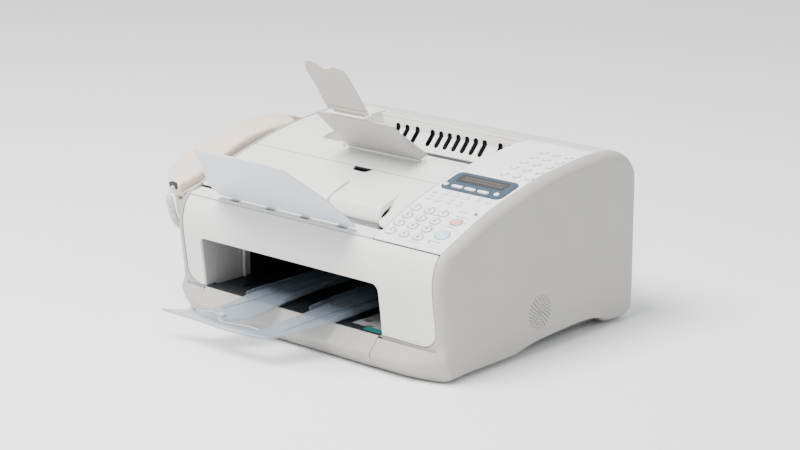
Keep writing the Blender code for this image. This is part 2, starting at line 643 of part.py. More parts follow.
# Places of joints and openings that several sub-parts share
FOOT_X = 150.0
FOOT_Y = (34.0, 272.0)
FRONT_COVER_PIVOT = (0.0, -1.5, 37.0)
ADF_PIVOT = (-43.0, MID_SEAM_Y, top_z(MID_SEAM_Y))
ROLLER_Y = 54.0
TRAY_LUGS = (-113.0, -61.0, -11.5, 41.0)
TRAY_PIVOT = (-30.0, 9.5, 133.0)
TRAY_ANGLE = math.radians(40.0)
TRAY_LENGTH = 120.0
OUTPUT_PIVOT = (-14.5, 130.0, 178.6)
OUTPUT_ANGLE = math.radians(44.0)
OUTPUT_LENGTH = 64.0
TONGUE_PIVOT = (-20.5, 84.3, 226.3)
TONGUE_ANGLE = math.radians(56.0)
TONGUE_LENGTH = 70.0
GUIDE_SPAN = (-30.5, -6.5)
GUIDE_REACH = -139.0
FEED_RIGHT = 64.0
FEED_FRONT = 36.0
VENT_X = [-90.5, -77.0, -62.0] + [-40.0 + 12.35 * number for number in range(7)] + [56.0, 70.0, 84.0]
INLET_BOX = (104.0, 297.0, 34.0)
INLET_TOP = (134.0, 304.4, 56.0)
JACK_BOX = (-140.0, 297.0, 38.0)
JACK_TOP = (-110.5, 304.4, 54.0)
BEZEL_X = (93.5, 173.0)
BEZEL_Y = (92.6, 128.0)
CRADLE_LEFT = -240.0
HANDSET_X = (-243.0, -193.0)
CORD_DIAMETER = 8.8
CORD_ROUTE = [(-203.5, 0.8, 130.0), (-203.5, -2.4, 128.8), (-203.2, -4.2, 124.5), (-202.4, -3.6, 118),
              (-201.4, -1.8, 109), (-200.8, 0.4, 101), (-200.6, 5.5, 93), (-200.6, 15, 86),
              (-200.8, 34, 80.5), (-201, 60, 77.5), (-201, 90, 77), (-200, 114, 79), (-197.5, 129, 81.5),
              (-193.8, 135, 82.6), (-189.0, 136.5, 82.8)]
KEYS = key_table()

clear_scene()
PARTS = new_collection("fax_machine")
CUTTERS = new_collection("cutters")
ROOT = make_root()

SHELL_WHITE = colour("shell_white", 0.86, 0.86, 0.84, 0.42)
SHELL_LIGHT = colour("shell_light", 0.80, 0.80, 0.78, 0.45)
SHELL_GREY = colour("shell_grey", 0.62, 0.61, 0.57, 0.5)
FRAME_GREY = colour("frame_grey", 0.35, 0.35, 0.34, 0.6)
BAY_DARK = colour("bay_dark", 0.03, 0.035, 0.04, 0.55)
RUBBER = colour("rubber", 0.04, 0.04, 0.04, 0.8)
HANDSET_BEIGE = colour("handset_beige", 0.82, 0.76, 0.70, 0.45)
TONGUE_GREY = colour("tongue_grey", 0.66, 0.62, 0.60, 0.5)
CLEAR_PALE = colour("clear_pale", 0.80, 0.85, 0.90, 0.2, 0.0, 0.7)
SMOKE_CLEAR = colour("smoke_clear", 0.35, 0.45, 0.55, 0.15, 0.0, 0.6)
BEZEL_BLUE = colour("bezel_blue", 0.11, 0.17, 0.25, 0.35)
GLASS_DARK = colour("glass_dark", 0.05, 0.05, 0.05, 0.1)
KEY_WHITE = colour("key_white", 0.88, 0.88, 0.87, 0.4)
KEY_BLUE = colour("key_blue", 0.55, 0.80, 0.90, 0.4)
KEY_RED = colour("key_red", 0.85, 0.55, 0.52, 0.4)
SOCKET_BLACK = colour("socket_black", 0.02, 0.02, 0.02, 0.4)
CARTRIDGE_BLACK = colour("cartridge_black", 0.03, 0.03, 0.035, 0.5)
CORD_WHITE = colour("cord_white", 0.85, 0.85, 0.83, 0.5)
KEY_FINISH = {"start_key": KEY_BLUE, "stop_key": KEY_RED}

build_base_pan()
build_side_cover("left_side_cover", -1)
build_side_cover("right_side_cover", 1)
build_chin()
build_bay_liner()
build_front_cover()
build_document_bed()
build_adf_cover()
build_document_guide()
build_document_tray()
build_output_tray()
build_output_extension()
build_top_rear_cover()
build_rear_cover()
build_rear_sockets()
build_operation_panel()
build_display()
build_keys()
build_toner_cartridge()
build_rollers()
build_paper_tray()
build_cradle()
build_handset()
build_hook_switch()
build_cord()
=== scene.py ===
import math

import bmesh
import bpy
import numpy as np
from mathutils import Matrix, Vector

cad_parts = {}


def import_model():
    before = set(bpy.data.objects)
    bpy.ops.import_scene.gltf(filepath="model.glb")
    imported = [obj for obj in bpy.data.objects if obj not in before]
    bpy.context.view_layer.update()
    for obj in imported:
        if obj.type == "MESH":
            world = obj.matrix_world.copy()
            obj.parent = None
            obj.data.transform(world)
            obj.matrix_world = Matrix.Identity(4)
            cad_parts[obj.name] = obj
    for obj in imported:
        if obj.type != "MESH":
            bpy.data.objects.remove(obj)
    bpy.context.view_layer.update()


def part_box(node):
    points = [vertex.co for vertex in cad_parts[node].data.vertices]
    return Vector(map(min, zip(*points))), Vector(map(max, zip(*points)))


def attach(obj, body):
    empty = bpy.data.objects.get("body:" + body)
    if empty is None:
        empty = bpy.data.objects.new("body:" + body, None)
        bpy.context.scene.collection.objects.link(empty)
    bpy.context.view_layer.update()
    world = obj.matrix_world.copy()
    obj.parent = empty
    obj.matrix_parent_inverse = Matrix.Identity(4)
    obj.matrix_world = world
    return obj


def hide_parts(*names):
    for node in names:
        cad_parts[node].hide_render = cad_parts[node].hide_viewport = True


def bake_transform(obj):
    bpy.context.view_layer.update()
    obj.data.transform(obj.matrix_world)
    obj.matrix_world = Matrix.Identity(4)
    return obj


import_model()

# Lengths below are millimetres in the machine's own frame: X across from the body's centre
# plane, Y back from the top edge of the front cover, Z up from the desk.
MM = 0.001
REAR_Y = 304.0
left_low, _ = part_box("left_side_cover")
_, right_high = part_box("right_side_cover")
HALF_WIDTH = (right_high.x - left_low.x) / 2 / MM
ORIGIN = Vector(((right_high.x + left_low.x) / 2, right_high.y - REAR_Y * MM, 0.0))
TO_WORLD = Matrix.Translation(ORIGIN) @ Matrix.Scale(MM, 4)

INNER_HALF = 176.5
GAP = 0.4
FRONT_SEAM = 0.9
FLANGE_X = 176.0
COVER_WALL = 2.6
PANEL_WALL = 2.2
MID_SEAM_Y = 99.5
RIDGE_Y = 243.0
PANEL_LEFT = 88.0
BAY_LEFT = -151.0
BAY_RIGHT = 102.0
BAY_FLOOR = 33.0
BAY_CEILING = 84.3
BAY_DEPTH = 187.0
MOUTH_TOP = 88.0
SLOPE = math.radians(14.0)
SLOPE_ORIGIN = (4.0, 118.0)
COVER_SPAN = (-INNER_HALF + GAP, PANEL_LEFT - GAP)

TOP_POINTS = [(0, 130), (15, 136.2), (30, 142.7), (48, 150.5), (70, 158.8), (100, 167.5), (128, 174.8),
              (163, 181.7), (200, 186.0), (225, 188.2), (245, 188.5), (268, 186.8), (286, 180), (298, 170),
              (REAR_Y, 158)]
FRONT_POINTS = [(-2.5, 34.5), (-4.0, 50.0), (-6.5, 70.0), (-9.0, 90.0), (-9.6, 102.0), (-8.0, 114.0),
                (-4.2, 123.0), (1.0, 129.6)]


def world(x, y, z):
    return TO_WORLD @ Vector((x, y, z))


# ---------------------------------------------------------------- outlines

def curve_through(points, spacing=3.0):
    """Points about one spacing apart on a natural cubic spline through the given points."""
    knots = np.array(points, float)
    step = np.linalg.norm(np.diff(knots, axis=0), axis=1)
    place = np.concatenate([[0.0], np.cumsum(step)])
    count = len(knots)
    system = np.eye(count)
    load = np.zeros_like(knots)
    for i in range(1, count - 1):
        system[i, i - 1:i + 2] = step[i - 1], 2 * (step[i - 1] + step[i]), step[i]
        load[i] = 6 * ((knots[i + 1] - knots[i]) / step[i] - (knots[i] - knots[i - 1]) / step[i - 1])
    bend = np.linalg.solve(system, load)
    made = []
    for s in np.linspace(0, place[-1], max(3, int(place[-1] / spacing) + 1)):
        i = min(int(np.searchsorted(place, s, side="right")) - 1, count - 2)
        ahead, behind, h = place[i + 1] - s, s - place[i], step[i]
        point = (bend[i] * ahead ** 3 + bend[i + 1] * behind ** 3) / (6 * h)
        point += (knots[i] / h - bend[i] * h / 6) * ahead + (knots[i + 1] / h - bend[i + 1] * h / 6) * behind
        made.append(tuple(float(value) for value in point))
    return made


def rounded(corners, steps=6):
    """Outline from (u, v, radius) corners, each rounded by an arc."""
    points = []
    count = len(corners)
    for index, (u, v, radius) in enumerate(corners):
        if radius == 0:
            points.append((u, v))
            continue
        here = Vector((u, v))
        back = (Vector(corners[index - 1][:2]) - here).normalized()
        ahead = (Vector(corners[(index + 1) % count][:2]) - here).normalized()
        half = back.angle(ahead) / 2
        centre = here + (back + ahead).normalized() * (radius / math.sin(half))
        start = here + back * (radius / math.tan(half)) - centre
        sweep = math.copysign(math.pi - 2 * half, back.angle_signed(ahead))
        for step in range(steps + 1):
            points.append(tuple(centre + Matrix.Rotation(sweep * step / steps, 2) @ start))
    return points


def slot_shape(u0, v0, u1, v1, radius, steps=6):
    return rounded([(u0, v0, radius), (u1, v0, radius), (u1, v1, radius), (u0, v1, radius)], steps)


def offset_path(path, distance):
    """The path moved to its right-hand side by a distance."""
    moved = []
    for index, (u, v) in enumerate(path):
        before = path[max(index - 1, 0)]
        after = path[min(index + 1, len(path) - 1)]
        du, dv = after[0] - before[0], after[1] - before[1]
        length = math.hypot(du, dv)
        moved.append((u + dv / length * distance, v - du / length * distance))
    return moved


def band(path, thickness):
    """Closed outline of a wall whose outer face follows the path."""
    return path + offset_path(path, thickness)[::-1]


TOP = curve_through(TOP_POINTS)
TOP_Y = [y for y, z in TOP]
TOP_HEIGHT = [z for y, z in TOP]
FRONT = curve_through(FRONT_POINTS, 2.5)


def top_z(y):
    return float(np.interp(y, TOP_Y, TOP_HEIGHT))


def top_path(start, end):
    inner = [point for point in TOP if start + 0.5 < point[0] < end - 0.5]
    return [(start, top_z(start))] + inner + [(end, top_z(end))]


def on_slope(along, up):
    """Machine (y, z) of a point on the handset's slope."""
    y = SLOPE_ORIGIN[0] + along * math.cos(SLOPE) - up * math.sin(SLOPE)
    return y, SLOPE_ORIGIN[1] + along * math.sin(SLOPE) + up * math.cos(SLOPE)


def surface_frame(x, y, lift=0.0):
    """Matrix whose origin lies on the top surface and whose Z is the surface normal."""
    rise = math.atan2(top_z(y + 2) - top_z(y - 2), 4.0)
    upright = Matrix.Rotation(rise, 4, "X") @ Matrix.Translation((0, 0, lift))
    return Matrix.Translation((x, y, top_z(y))) @ upright


# ---------------------------------------------------------------- meshes

EDGE_ANGLE = 50.0
BLOCK_ANGLE = 35.0


def mesh_object(name, verts, faces):
    mesh = bpy.data.meshes.new(name)
    mesh.from_pydata([tuple(v) for v in verts], [], faces)
    made = bpy.data.objects.new(name, mesh)
    bpy.context.scene.collection.objects.link(made)
    return fix_normals(made)


def fix_normals(item):
    work = bmesh.new()
    work.from_mesh(item.data)
    bmesh.ops.recalc_face_normals(work, faces=work.faces)
    work.to_mesh(item.data)
    work.free()
    return item


def extrude(name, outline, axis, low, high):
    """An outline pushed along an axis: (y, z) for X, (x, z) for Y and (x, y) for Z."""
    place = {"X": lambda u, v, w: (w, u, v), "Y": lambda u, v, w: (u, w, v), "Z": lambda u, v,
             w: (u, v, w)}[axis]
    count = len(outline)
    verts = [place(u, v, w) for w in (low, high) for u, v in outline]
    faces = [tuple(range(count)), tuple(range(2 * count - 1, count - 1, -1))]
    faces += [(i, (i + 1) % count, count + (i + 1) % count, count + i) for i in range(count)]
    return mesh_object(name, verts, faces)


def tool(outline, axis, low, high):
    """A prism that is used up by a cut."""
    return extrude("tool", outline, axis, low, high)


def block(name, low, high, radius, segments=2):
    """A box with softened edges."""
    corners = [(low[0], low[1]), (high[0], low[1]), (high[0], high[1]), (low[0], high[1])]
    made = extrude(name, corners, "Z", low[2], high[2])
    return soften(made, radius, segments, BLOCK_ANGLE) if radius else made


def ring_faces(rows, count):
    """Quads between neighbouring rings of equal length."""
    return [(row * count + i, row * count + (i + 1) % count, (row + 1) * count + (i + 1) % count,
             (row + 1) * count + i) for row in range(rows) for i in range(count)]


def loft(name, rings, caps=True):
    """Skin over rings of equal length, each a closed loop of points."""
    count = len(rings[0])
    verts = [point for ring in rings for point in ring]
    faces = ring_faces(len(rings) - 1, count)
    if caps:
        faces.append(tuple(range(count)))
        faces.append(tuple(len(verts) - 1 - i for i in range(count)))
    return mesh_object(name, verts, faces)


def circle(radius, sides):
    return [(radius * math.cos(turn), radius * math.sin(turn))
            for turn in [2 * math.pi * k / sides for k in range(sides)]]


def tube(name, points, radius, sides):
    """A round bar along points."""
    path = [Vector(p) for p in points]
    rings = []
    side = None
    for index, here in enumerate(path):
        along = (path[min(index + 1, len(path) - 1)] - path[max(index - 1, 0)]).normalized()
        if side is None:
            side = along.orthogonal().normalized()
        side = (side - along * side.dot(along)).normalized()
        other = along.cross(side)
        rings.append([here + (side * u + other * v) * radius for u, v in circle(1.0, sides)])
    return loft(name, rings)


def turned(name, profile, centre, axis, sides):
    """A turned solid: profile of (distance along the axis, radius)."""
    turn = {"X": Matrix.Rotation(math.pi / 2, 4, "Y"), "Z": Matrix.Identity(4)}[axis]
    place = Matrix.Translation(centre) @ turn
    return loft(name, [[place @ Vector((u, v, w)) for u, v in circle(r, sides)] for w, r in profile])


def apply_modifiers(item):
    graph = bpy.context.evaluated_depsgraph_get()
    graph.update()
    mesh = bpy.data.meshes.new_from_object(item.evaluated_get(graph))
    item.modifiers.clear()
    item.data = mesh
    return item


def soften(item, width, segments=2, angle=EDGE_ANGLE):
    """Bevel every edge sharper than an angle in degrees."""
    bevel = item.modifiers.new("Bevel", "BEVEL")
    bevel.width = width
    bevel.segments = segments
    bevel.limit_method = "ANGLE"
    bevel.angle_limit = math.radians(angle)
    bevel.use_clamp_overlap = False
    return apply_modifiers(item)


def merge(name, items):
    """One mesh object from several, with their materials kept."""
    slots = []
    work = bmesh.new()
    for item in items:
        start = len(work.faces)
        work.from_mesh(item.data)
        work.faces.ensure_lookup_table()
        table = []
        for material in item.data.materials:
            if material not in slots:
                slots.append(material)
            table.append(slots.index(material))
        for face in work.faces[start:]:
            face.material_index = table[face.material_index] if table else 0
    mesh = bpy.data.meshes.new(name)
    work.to_mesh(mesh)
    work.free()
    for item in items:
        bpy.data.objects.remove(item, do_unlink=True)
    made = bpy.data.objects.new(name, mesh)
    for material in slots:
        mesh.materials.append(material)
    bpy.context.scene.collection.objects.link(made)
    return made


def boolean(item, tools, operation):
    cutter = merge("tool", tools) if len(tools) > 1 else tools[0]
    modifier = item.modifiers.new("Boolean", "BOOLEAN")
    modifier.operation = operation
    modifier.solver = "EXACT"
    modifier.object = cutter
    apply_modifiers(item)
    bpy.data.objects.remove(cutter, do_unlink=True)
    return item


def cut(item, *tools):
    return boolean(item, list(tools), "DIFFERENCE")


def thicken(item, depth):
    wall = item.modifiers.new("Solidify", "SOLIDIFY")
    wall.thickness = depth
    wall.offset = -1.0
    wall.use_even_offset = False
    return apply_modifiers(item)


def place(item, body, material, nodes=(), slot=None, angle=35.0):
    """Move a finished piece into the row frame, shade it, and tie it to its body.

    A piece that stands for CAD nodes hides them; the slot argument is not used.
    """
    item.data.transform(TO_WORLD)
    if material is not None:
        item.data.materials.clear()
        item.data.materials.append(material)
    item.data.shade_smooth()
    item.data.set_sharp_from_angle(angle=math.radians(angle))
    weight = item.modifiers.new("Normals", "WEIGHTED_NORMAL")
    weight.keep_sharp = True
    apply_modifiers(item)
    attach(item, body)
    if nodes:
        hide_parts(*nodes)
        slot or material.name.split(".")[0]
    return item


def place_blocks(name, body, material, rows):
    """One piece made of boxes, each given as low corner, high corner, edge radius and maybe segments."""
    return place(merge(name, [block("part", *row) for row in rows]), body, material)


# ---------------------------------------------------------------- materials

def nodes_of(material):
    material.use_nodes = True
    tree = material.node_tree
    return tree, tree.nodes["Principled BSDF"]


def noise(tree, scale, detail=3.0):
    place_node = tree.nodes.new("ShaderNodeTexCoord")
    texture = tree.nodes.new("ShaderNodeTexNoise")
    texture.inputs["Scale"].default_value = scale
    texture.inputs["Detail"].default_value = detail
    tree.links.new(place_node.outputs["Object"], texture.inputs["Vector"])
    return texture


def remap(tree, source, low, high, from_low=0.3, from_high=0.7):
    node = tree.nodes.new("ShaderNodeMapRange")
    node.inputs["From Min"].default_value = from_low
    node.inputs["From Max"].default_value = from_high
    node.inputs["To Min"].default_value = low
    node.inputs["To Max"].default_value = high
    tree.links.new(source, node.inputs["Value"])
    return node.outputs["Result"]


def mixed(tree, factor, first, second):
    node = tree.nodes.new("ShaderNodeMix")
    node.data_type = "RGBA"
    for socket, value in ((node.inputs[6], first), (node.inputs[7], second)):
        if isinstance(value, bpy.types.NodeSocket):
            tree.links.new(value, socket)
        else:
            socket.default_value = (*value, 1.0)
    tree.links.new(factor, node.inputs[0])
    return node.outputs[2]


def plastic(name, colour, rough, shade=0.94, warm=0.0, grain=0.25, grain_scale=1400.0, metal=0.0):
    """Moulded plastic: fine spark-eroded grain, slow shade changes and slightly uneven gloss."""
    material = bpy.data.materials.new(name)
    tree, shader = nodes_of(material)
    slow = noise(tree, 9.0, 2.0)
    darker = (colour[0] * shade, colour[1] * shade * (1 - warm / 2), colour[2] * shade * (1 - warm))
    tone = mixed(tree, remap(tree, slow.outputs["Fac"], 0.0, 1.0), colour, darker)
    tree.links.new(tone, shader.inputs["Base Color"])
    fine = noise(tree, grain_scale, 2.0)
    patch = noise(tree, 45.0, 3.0)
    gloss = remap(tree, patch.outputs["Fac"], rough - 0.05, rough + 0.05)
    tree.links.new(gloss, shader.inputs["Roughness"])
    bump = tree.nodes.new("ShaderNodeBump")
    bump.inputs["Strength"].default_value = grain
    bump.inputs["Distance"].default_value = 0.00006
    tree.links.new(fine.outputs["Fac"], bump.inputs["Height"])
    tree.links.new(bump.outputs["Normal"], shader.inputs["Normal"])
    shader.inputs["IOR"].default_value = 1.46
    shader.inputs["Metallic"].default_value = metal
    return material


def clear_plastic(name, colour, edge_sheen_colour, rough, alpha, edge_alpha):
    """See-through moulding that turns denser and paler where it is seen edge-on: a painted sheen."""
    material = bpy.data.materials.new(name)
    tree, shader = nodes_of(material)
    facing = tree.nodes.new("ShaderNodeLayerWeight")
    facing.inputs["Blend"].default_value = 0.35
    slow = noise(tree, 30.0, 2.0)
    sheen_tint = mixed(tree, facing.outputs["Facing"], colour, edge_sheen_colour)
    tree.links.new(sheen_tint, shader.inputs["Base Color"])
    dense = remap(tree, facing.outputs["Facing"], alpha, edge_alpha, 0.0, 0.9)
    tree.links.new(dense, shader.inputs["Alpha"])
    tree.links.new(remap(tree, slow.outputs["Fac"], rough - 0.04, rough + 0.04), shader.inputs["Roughness"])
    bump = tree.nodes.new("ShaderNodeBump")
    bump.inputs["Strength"].default_value = 0.08
    bump.inputs["Distance"].default_value = 0.0002
    tree.links.new(slow.outputs["Fac"], bump.inputs["Height"])
    tree.links.new(bump.outputs["Normal"], shader.inputs["Normal"])
    shader.inputs["IOR"].default_value = 1.5
    return material


SHELL_WHITE = plastic("shell_white", (0.76, 0.755, 0.735), 0.42, 0.97, 0.03)
# Lighter copy of shell_white for the top-facing operation panel: painted light.
SHELL_WHITE_LIT = plastic("shell_white_painted_light", (0.86, 0.86, 0.855), 0.38, 0.98, 0.0, 0.15)
SHELL_GREY = plastic("shell_grey", (0.40, 0.39, 0.36), 0.48, 0.96, 0.02, 0.35)
# Lighter copy of shell_grey for the rear cover and the recess's rear lip: painted light where they face up.
SHELL_GREY_LIT = plastic("shell_grey_painted_light", (0.60, 0.595, 0.575), 0.48, 0.96, 0.02, 0.35)
FRAME_GREY = plastic("frame_grey", (0.16, 0.16, 0.155), 0.6)
# Near-black of the paper bay, also used as painted shade for the dark fillers in seams, slots, wells and
# behind openings.
BAY_DARK_AND_SHADE = plastic("bay_dark", (0.014, 0.017, 0.021), 0.5)
BAY_WALL = plastic("bay_wall", (0.42, 0.42, 0.41), 0.5)
BAY_TEAL = plastic("bay_teal", (0.013, 0.14, 0.13), 0.4)
RUBBER = plastic("rubber", (0.02, 0.02, 0.02), 0.75, 0.85, 0.0, 0.6, 700.0)
STEEL = plastic("shaft_steel", (0.42, 0.42, 0.43), 0.3, 0.9, 0.0, 0.05, metal=1.0)
HANDSET_BEIGE = plastic("handset_beige", (0.76, 0.65, 0.575), 0.42, 0.96, 0.04)
# Darker copy of handset_beige for the cradle: painted shade under the handset.
HANDSET_BEIGE_SHADED = plastic("handset_beige_painted_shade", (0.66, 0.59, 0.53), 0.45, 0.95, 0.04)
TONGUE_GREY = plastic("tongue_grey", (0.54, 0.50, 0.455), 0.5, 0.97, 0.02)
# Darker copy of white: painted shade on the output tray's face turned from the light; also used for the tray
# bar, the tray stop and the bay rib.
WHITE_PAINTED_SHADE = plastic("white_painted_shade", (0.46, 0.45, 0.43), 0.45, 0.97, 0.02)
CLEAR_PALE = clear_plastic("clear_pale", (0.78, 0.80, 0.82), (0.62, 0.68, 0.80), 0.34, 0.80, 0.96)
# Paler, denser copy of the smoky clear for the lip beads: painted sheen of the curved lip.
LIP_CLEAR_SHEEN = clear_plastic("lip_clear_painted_sheen", (0.62, 0.62, 0.68), (0.74, 0.74, 0.80), 0.2, 0.55, 0.85)
SMOKE_CLEAR = clear_plastic("smoke_clear", (0.20, 0.25, 0.31), (0.40, 0.47, 0.56), 0.12, 0.34, 0.62)
BEZEL_BLUE = plastic("bezel_blue", (0.035, 0.06, 0.095), 0.5, 0.9, 0.0, 0.1)
GLASS_DARK = plastic("glass_dark", (0.03, 0.026, 0.026), 0.25, 0.8, 0.0, 0.0)
KEY_WHITE = plastic("key_white", (0.84, 0.84, 0.83), 0.35, 0.98, 0.0, 0.1)
KEY_BLUE = plastic("key_blue", (0.50, 0.76, 0.86), 0.3, 0.95, 0.0, 0.1)
KEY_RED = plastic("key_red", (0.80, 0.42, 0.38), 0.3, 0.95, 0.0, 0.1)
SOCKET_BLACK = plastic("socket_black", (0.012, 0.012, 0.012), 0.4)
BRASS = plastic("contact_brass", (0.60, 0.42, 0.16), 0.3, 0.9, 0.0, 0.05, metal=1.0)
# Grey for the feed-mouth ribs and function-key rings; on the key rims it is painted shade of the gaps round
# the caps.
GREY_AND_GAP_SHADE = plastic("rim_grey_and_painted_shade", (0.44, 0.45, 0.46), 0.45, 0.96, 0.0, 0.1)
GLASS_CELL = plastic("glass_cell", (0.085, 0.072, 0.068), 0.2, 0.9, 0.0, 0.0)
MARK_GREY = plastic("mark_grey", (0.13, 0.135, 0.15), 0.6, 0.9, 0.0, 0.0)
LAMP_GREEN = plastic("lamp_green", (0.30, 0.46, 0.30), 0.2, 0.9, 0.0, 0.0)
CARTRIDGE_BLACK = plastic("cartridge_black", (0.016, 0.016, 0.018), 0.45)
CORD_WHITE = plastic("cord_white", (0.76, 0.755, 0.74), 0.4, 0.96, 0.02, 0.1)
INK = plastic("ink_grey", (0.03, 0.035, 0.04), 0.6, 0.9, 0.0, 0.0)
SHEET_GREY = plastic("label_grey", (0.45, 0.45, 0.46), 0.5, 0.7, 0.0, 0.0)


# ---------------------------------------------------------------- camera, floor and light

CAMERA_AZIMUTH = math.radians(42.2)
CAMERA_RISE = math.radians(15.3)
CAMERA_REACH = 2250.0
CAMERA_AIM = (67.2, 64.8, 127.3)
CAMERA_LENS = 100.3


def direction(azimuth, rise):
    return Vector((math.sin(azimuth) * math.cos(rise), -math.cos(azimuth) * math.cos(rise), math.sin(rise)))


def aim(item, back):
    item.rotation_mode = "QUATERNION"
    item.rotation_quaternion = (-back).to_track_quat("-Z", "Y")


def make_camera():
    data = bpy.data.cameras.new("camera")
    camera = bpy.data.objects.new("camera", data)
    data.lens = CAMERA_LENS
    data.sensor_width = 36.0
    data.clip_end = 50.0
    back = direction(CAMERA_AZIMUTH, CAMERA_RISE)
    camera.location = world(*CAMERA_AIM) + back * CAMERA_REACH * MM
    aim(camera, back)
    bpy.context.scene.collection.objects.link(camera)
    bpy.context.scene.camera = camera


def area_light(name, azimuth, rise, reach, size, power, colour=(1, 1, 1)):
    data = bpy.data.lights.new(name, "AREA")
    data.shape = "DISK"
    data.size = size
    data.energy = power
    data.color = colour
    lamp = bpy.data.objects.new(name, data)
    back = direction(math.radians(azimuth), math.radians(rise))
    lamp.location = world(0, 100, 100) + back * reach
    aim(lamp, back)
    bpy.context.scene.collection.objects.link(lamp)


def make_stage():
    floor = extrude("floor", [(-6000, -6000), (6000, -6000), (6000, 6000), (-6000, 6000)], "Z", -4.0, -0.05)
    floor.data.transform(TO_WORLD)
    material = bpy.data.materials.new("floor")
    tree, shader = nodes_of(material)
    tone = mixed(tree, remap(tree, noise(tree, 3.0).outputs["Fac"], 0, 1), (0.93, 0.93, 0.93),
                 (0.91, 0.91, 0.915))
    tree.links.new(tone, shader.inputs["Base Color"])
    shader.inputs["Roughness"].default_value = 0.9
    floor.data.materials.append(material)
    sky = bpy.data.worlds.new("studio")
    sky.use_nodes = True
    sky.node_tree.nodes["Background"].inputs["Color"].default_value = (0.93, 0.96, 1.0, 1.0)
    sky.node_tree.nodes["Background"].inputs["Strength"].default_value = 0.95
    bpy.context.scene.world = sky
    area_light("key_light", -20.0, 66.0, 2.4, 1.5, 150.0, (1.0, 0.985, 0.96))
    area_light("fill_light", 75.0, 30.0, 2.6, 1.8, 8.0)


# ---------------------------------------------------------------- handset cord

COIL_DIAMETER = 8.8
WIRE_DIAMETER = 1.6
COIL_PITCH = 2.3
CORD_ROUTE = [(-203.5, 0.8, 130.0), (-203.5, -2.4, 128.8), (-203.2, -4.2, 124.5), (-202.4, -3.6, 118),
              (-201.4, -1.8, 109), (-200.8, 0.4, 101), (-200.6, 5.5, 93), (-200.6, 15, 86),
              (-200.8, 34, 80.5), (-201, 60, 77.5), (-201, 90, 77), (-200, 114, 79), (-197.5, 129, 81.5),
              (-193.8, 135, 82.6), (-189.0, 136.5, 82.8)]


def eased(share):
    share = min(1.0, max(0.0, share))
    return share * share * (3 - 2 * share)


def winding(total, spacing):
    """Radius and turning angle of the coil along the route; slow turns lead in and out."""
    radius = (COIL_DIAMETER - WIRE_DIAMETER) / 2
    lead, ramp, slow = 7.0, 3.0, 0.13
    full = 2 * math.pi / COIL_PITCH
    rows, angle = [], 0.0
    for index in range(int(round(total / spacing)) + 1):
        run = index * spacing
        near = min(run, total - run)
        rows.append((radius * eased(near / lead), angle))
        angle += (slow + (full - slow) * eased((near - lead) / ramp)) * spacing
    return rows


def helix_points():
    """Centreline of the curly cord, wound by a loop about its smoothed route."""
    path = [Vector(p) for p in curve_through(CORD_ROUTE, 0.15)]
    runs = [0.0]
    for before, here in zip(path, path[1:]):
        runs.append(runs[-1] + (here - before).length)
    spacing = 0.05
    rows = winding(runs[-1], spacing)
    side = Vector((1, 0, 0))
    made = []
    for index, here in enumerate(path):
        along = (path[min(index + 1, len(path) - 1)] - path[max(index - 1, 0)]).normalized()
        side = (side - along * side.dot(along)).normalized()
        other = along.cross(side)
        radius, angle = rows[min(len(rows) - 1, int(round(runs[index] / spacing)))]
        made.append(here + (side * math.cos(angle) + other * math.sin(angle)) * radius)
    return made


def make_cord():
    line = helix_points()
    cord = tube("curly_cord", line, WIRE_DIAMETER / 2, 8)
    cord.data.transform(TO_WORLD)
    cord.data.materials.append(CORD_WHITE)
    cord.data.shade_smooth()
    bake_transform(cord)
    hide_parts("handset_cord")


make_camera()
make_stage()
make_cord()


# ---------------------------------------------------------------- housing

SIDE_SEAM = INNER_HALF + 0.3
SIDE_ROUND = 10.0
SIDE_STEPS = 9
SHELL_WALL = 2.4
CHIN_CORNERS = [(-5.0, 34.0, 1.2), (-19.5, 17.0, 4.5), (-7.0, 1.5, 2.5), (7.5, 1.5, 0), (7.5, 34.0, 0)]
CHIN_ARC_POINTS = 18
CHIN_COLUMNS = 12
SMOOTHING_PASSES = 40
CORNER = 20.0
ARCH = [(258, 4), (250, 8.5), (236, 12.4), (214, 13.8), (176, 12.7), (140, 10.5), (120, 7.6), (108, 4)]
SPEAKER = (142.0, 43.0)


def side_outline():
    """Front, top, rear and underside of a side cover, clockwise from its front lower edge."""
    chin = rounded(CHIN_CORNERS, 5)[:CHIN_ARC_POINTS][::-1]
    rear = rounded([(286, top_z(286), 0), (REAR_Y, 160.0, 0), (REAR_Y, 4.0, 17.0), (262.0, 4.0, 0)], 8)
    return chin + FRONT[1:-1] + top_path(2.5, 302.0) + rear[1:-1] + curve_through(ARCH) + [(20.0, 3.6)]


def resample(points, spacing):
    """Evenly spaced points round a closed outline."""
    loop = np.array(points + [points[0]], float)
    run = np.concatenate([[0.0], np.cumsum(np.linalg.norm(np.diff(loop, axis=0), axis=1))])
    places = np.linspace(0.0, run[-1], int(run[-1] / spacing) + 1)[:-1]
    return np.stack([np.interp(places, run, loop[:, k]) for k in (0, 1)], axis=1)


def relaxed_inset(loop):
    """The outline smoothed and drawn in, less along its underside than elsewhere."""
    calm = loop.copy()
    for _ in range(SMOOTHING_PASSES):
        calm = 0.5 * calm + 0.25 * (np.roll(calm, 1, axis=0) + np.roll(calm, -1, axis=0))
    along = np.roll(calm, -1, axis=0) - np.roll(calm, 1, axis=0)
    inward = np.stack([along[:, 1], -along[:, 0]], axis=1)
    inward /= np.linalg.norm(inward, axis=1)[:, None]
    lower = np.clip((inward[:, 1] - 0.3) / 0.6, 0, 1)
    return calm + inward * (SIDE_ROUND - 0.6 * SIDE_ROUND * lower)[:, None]


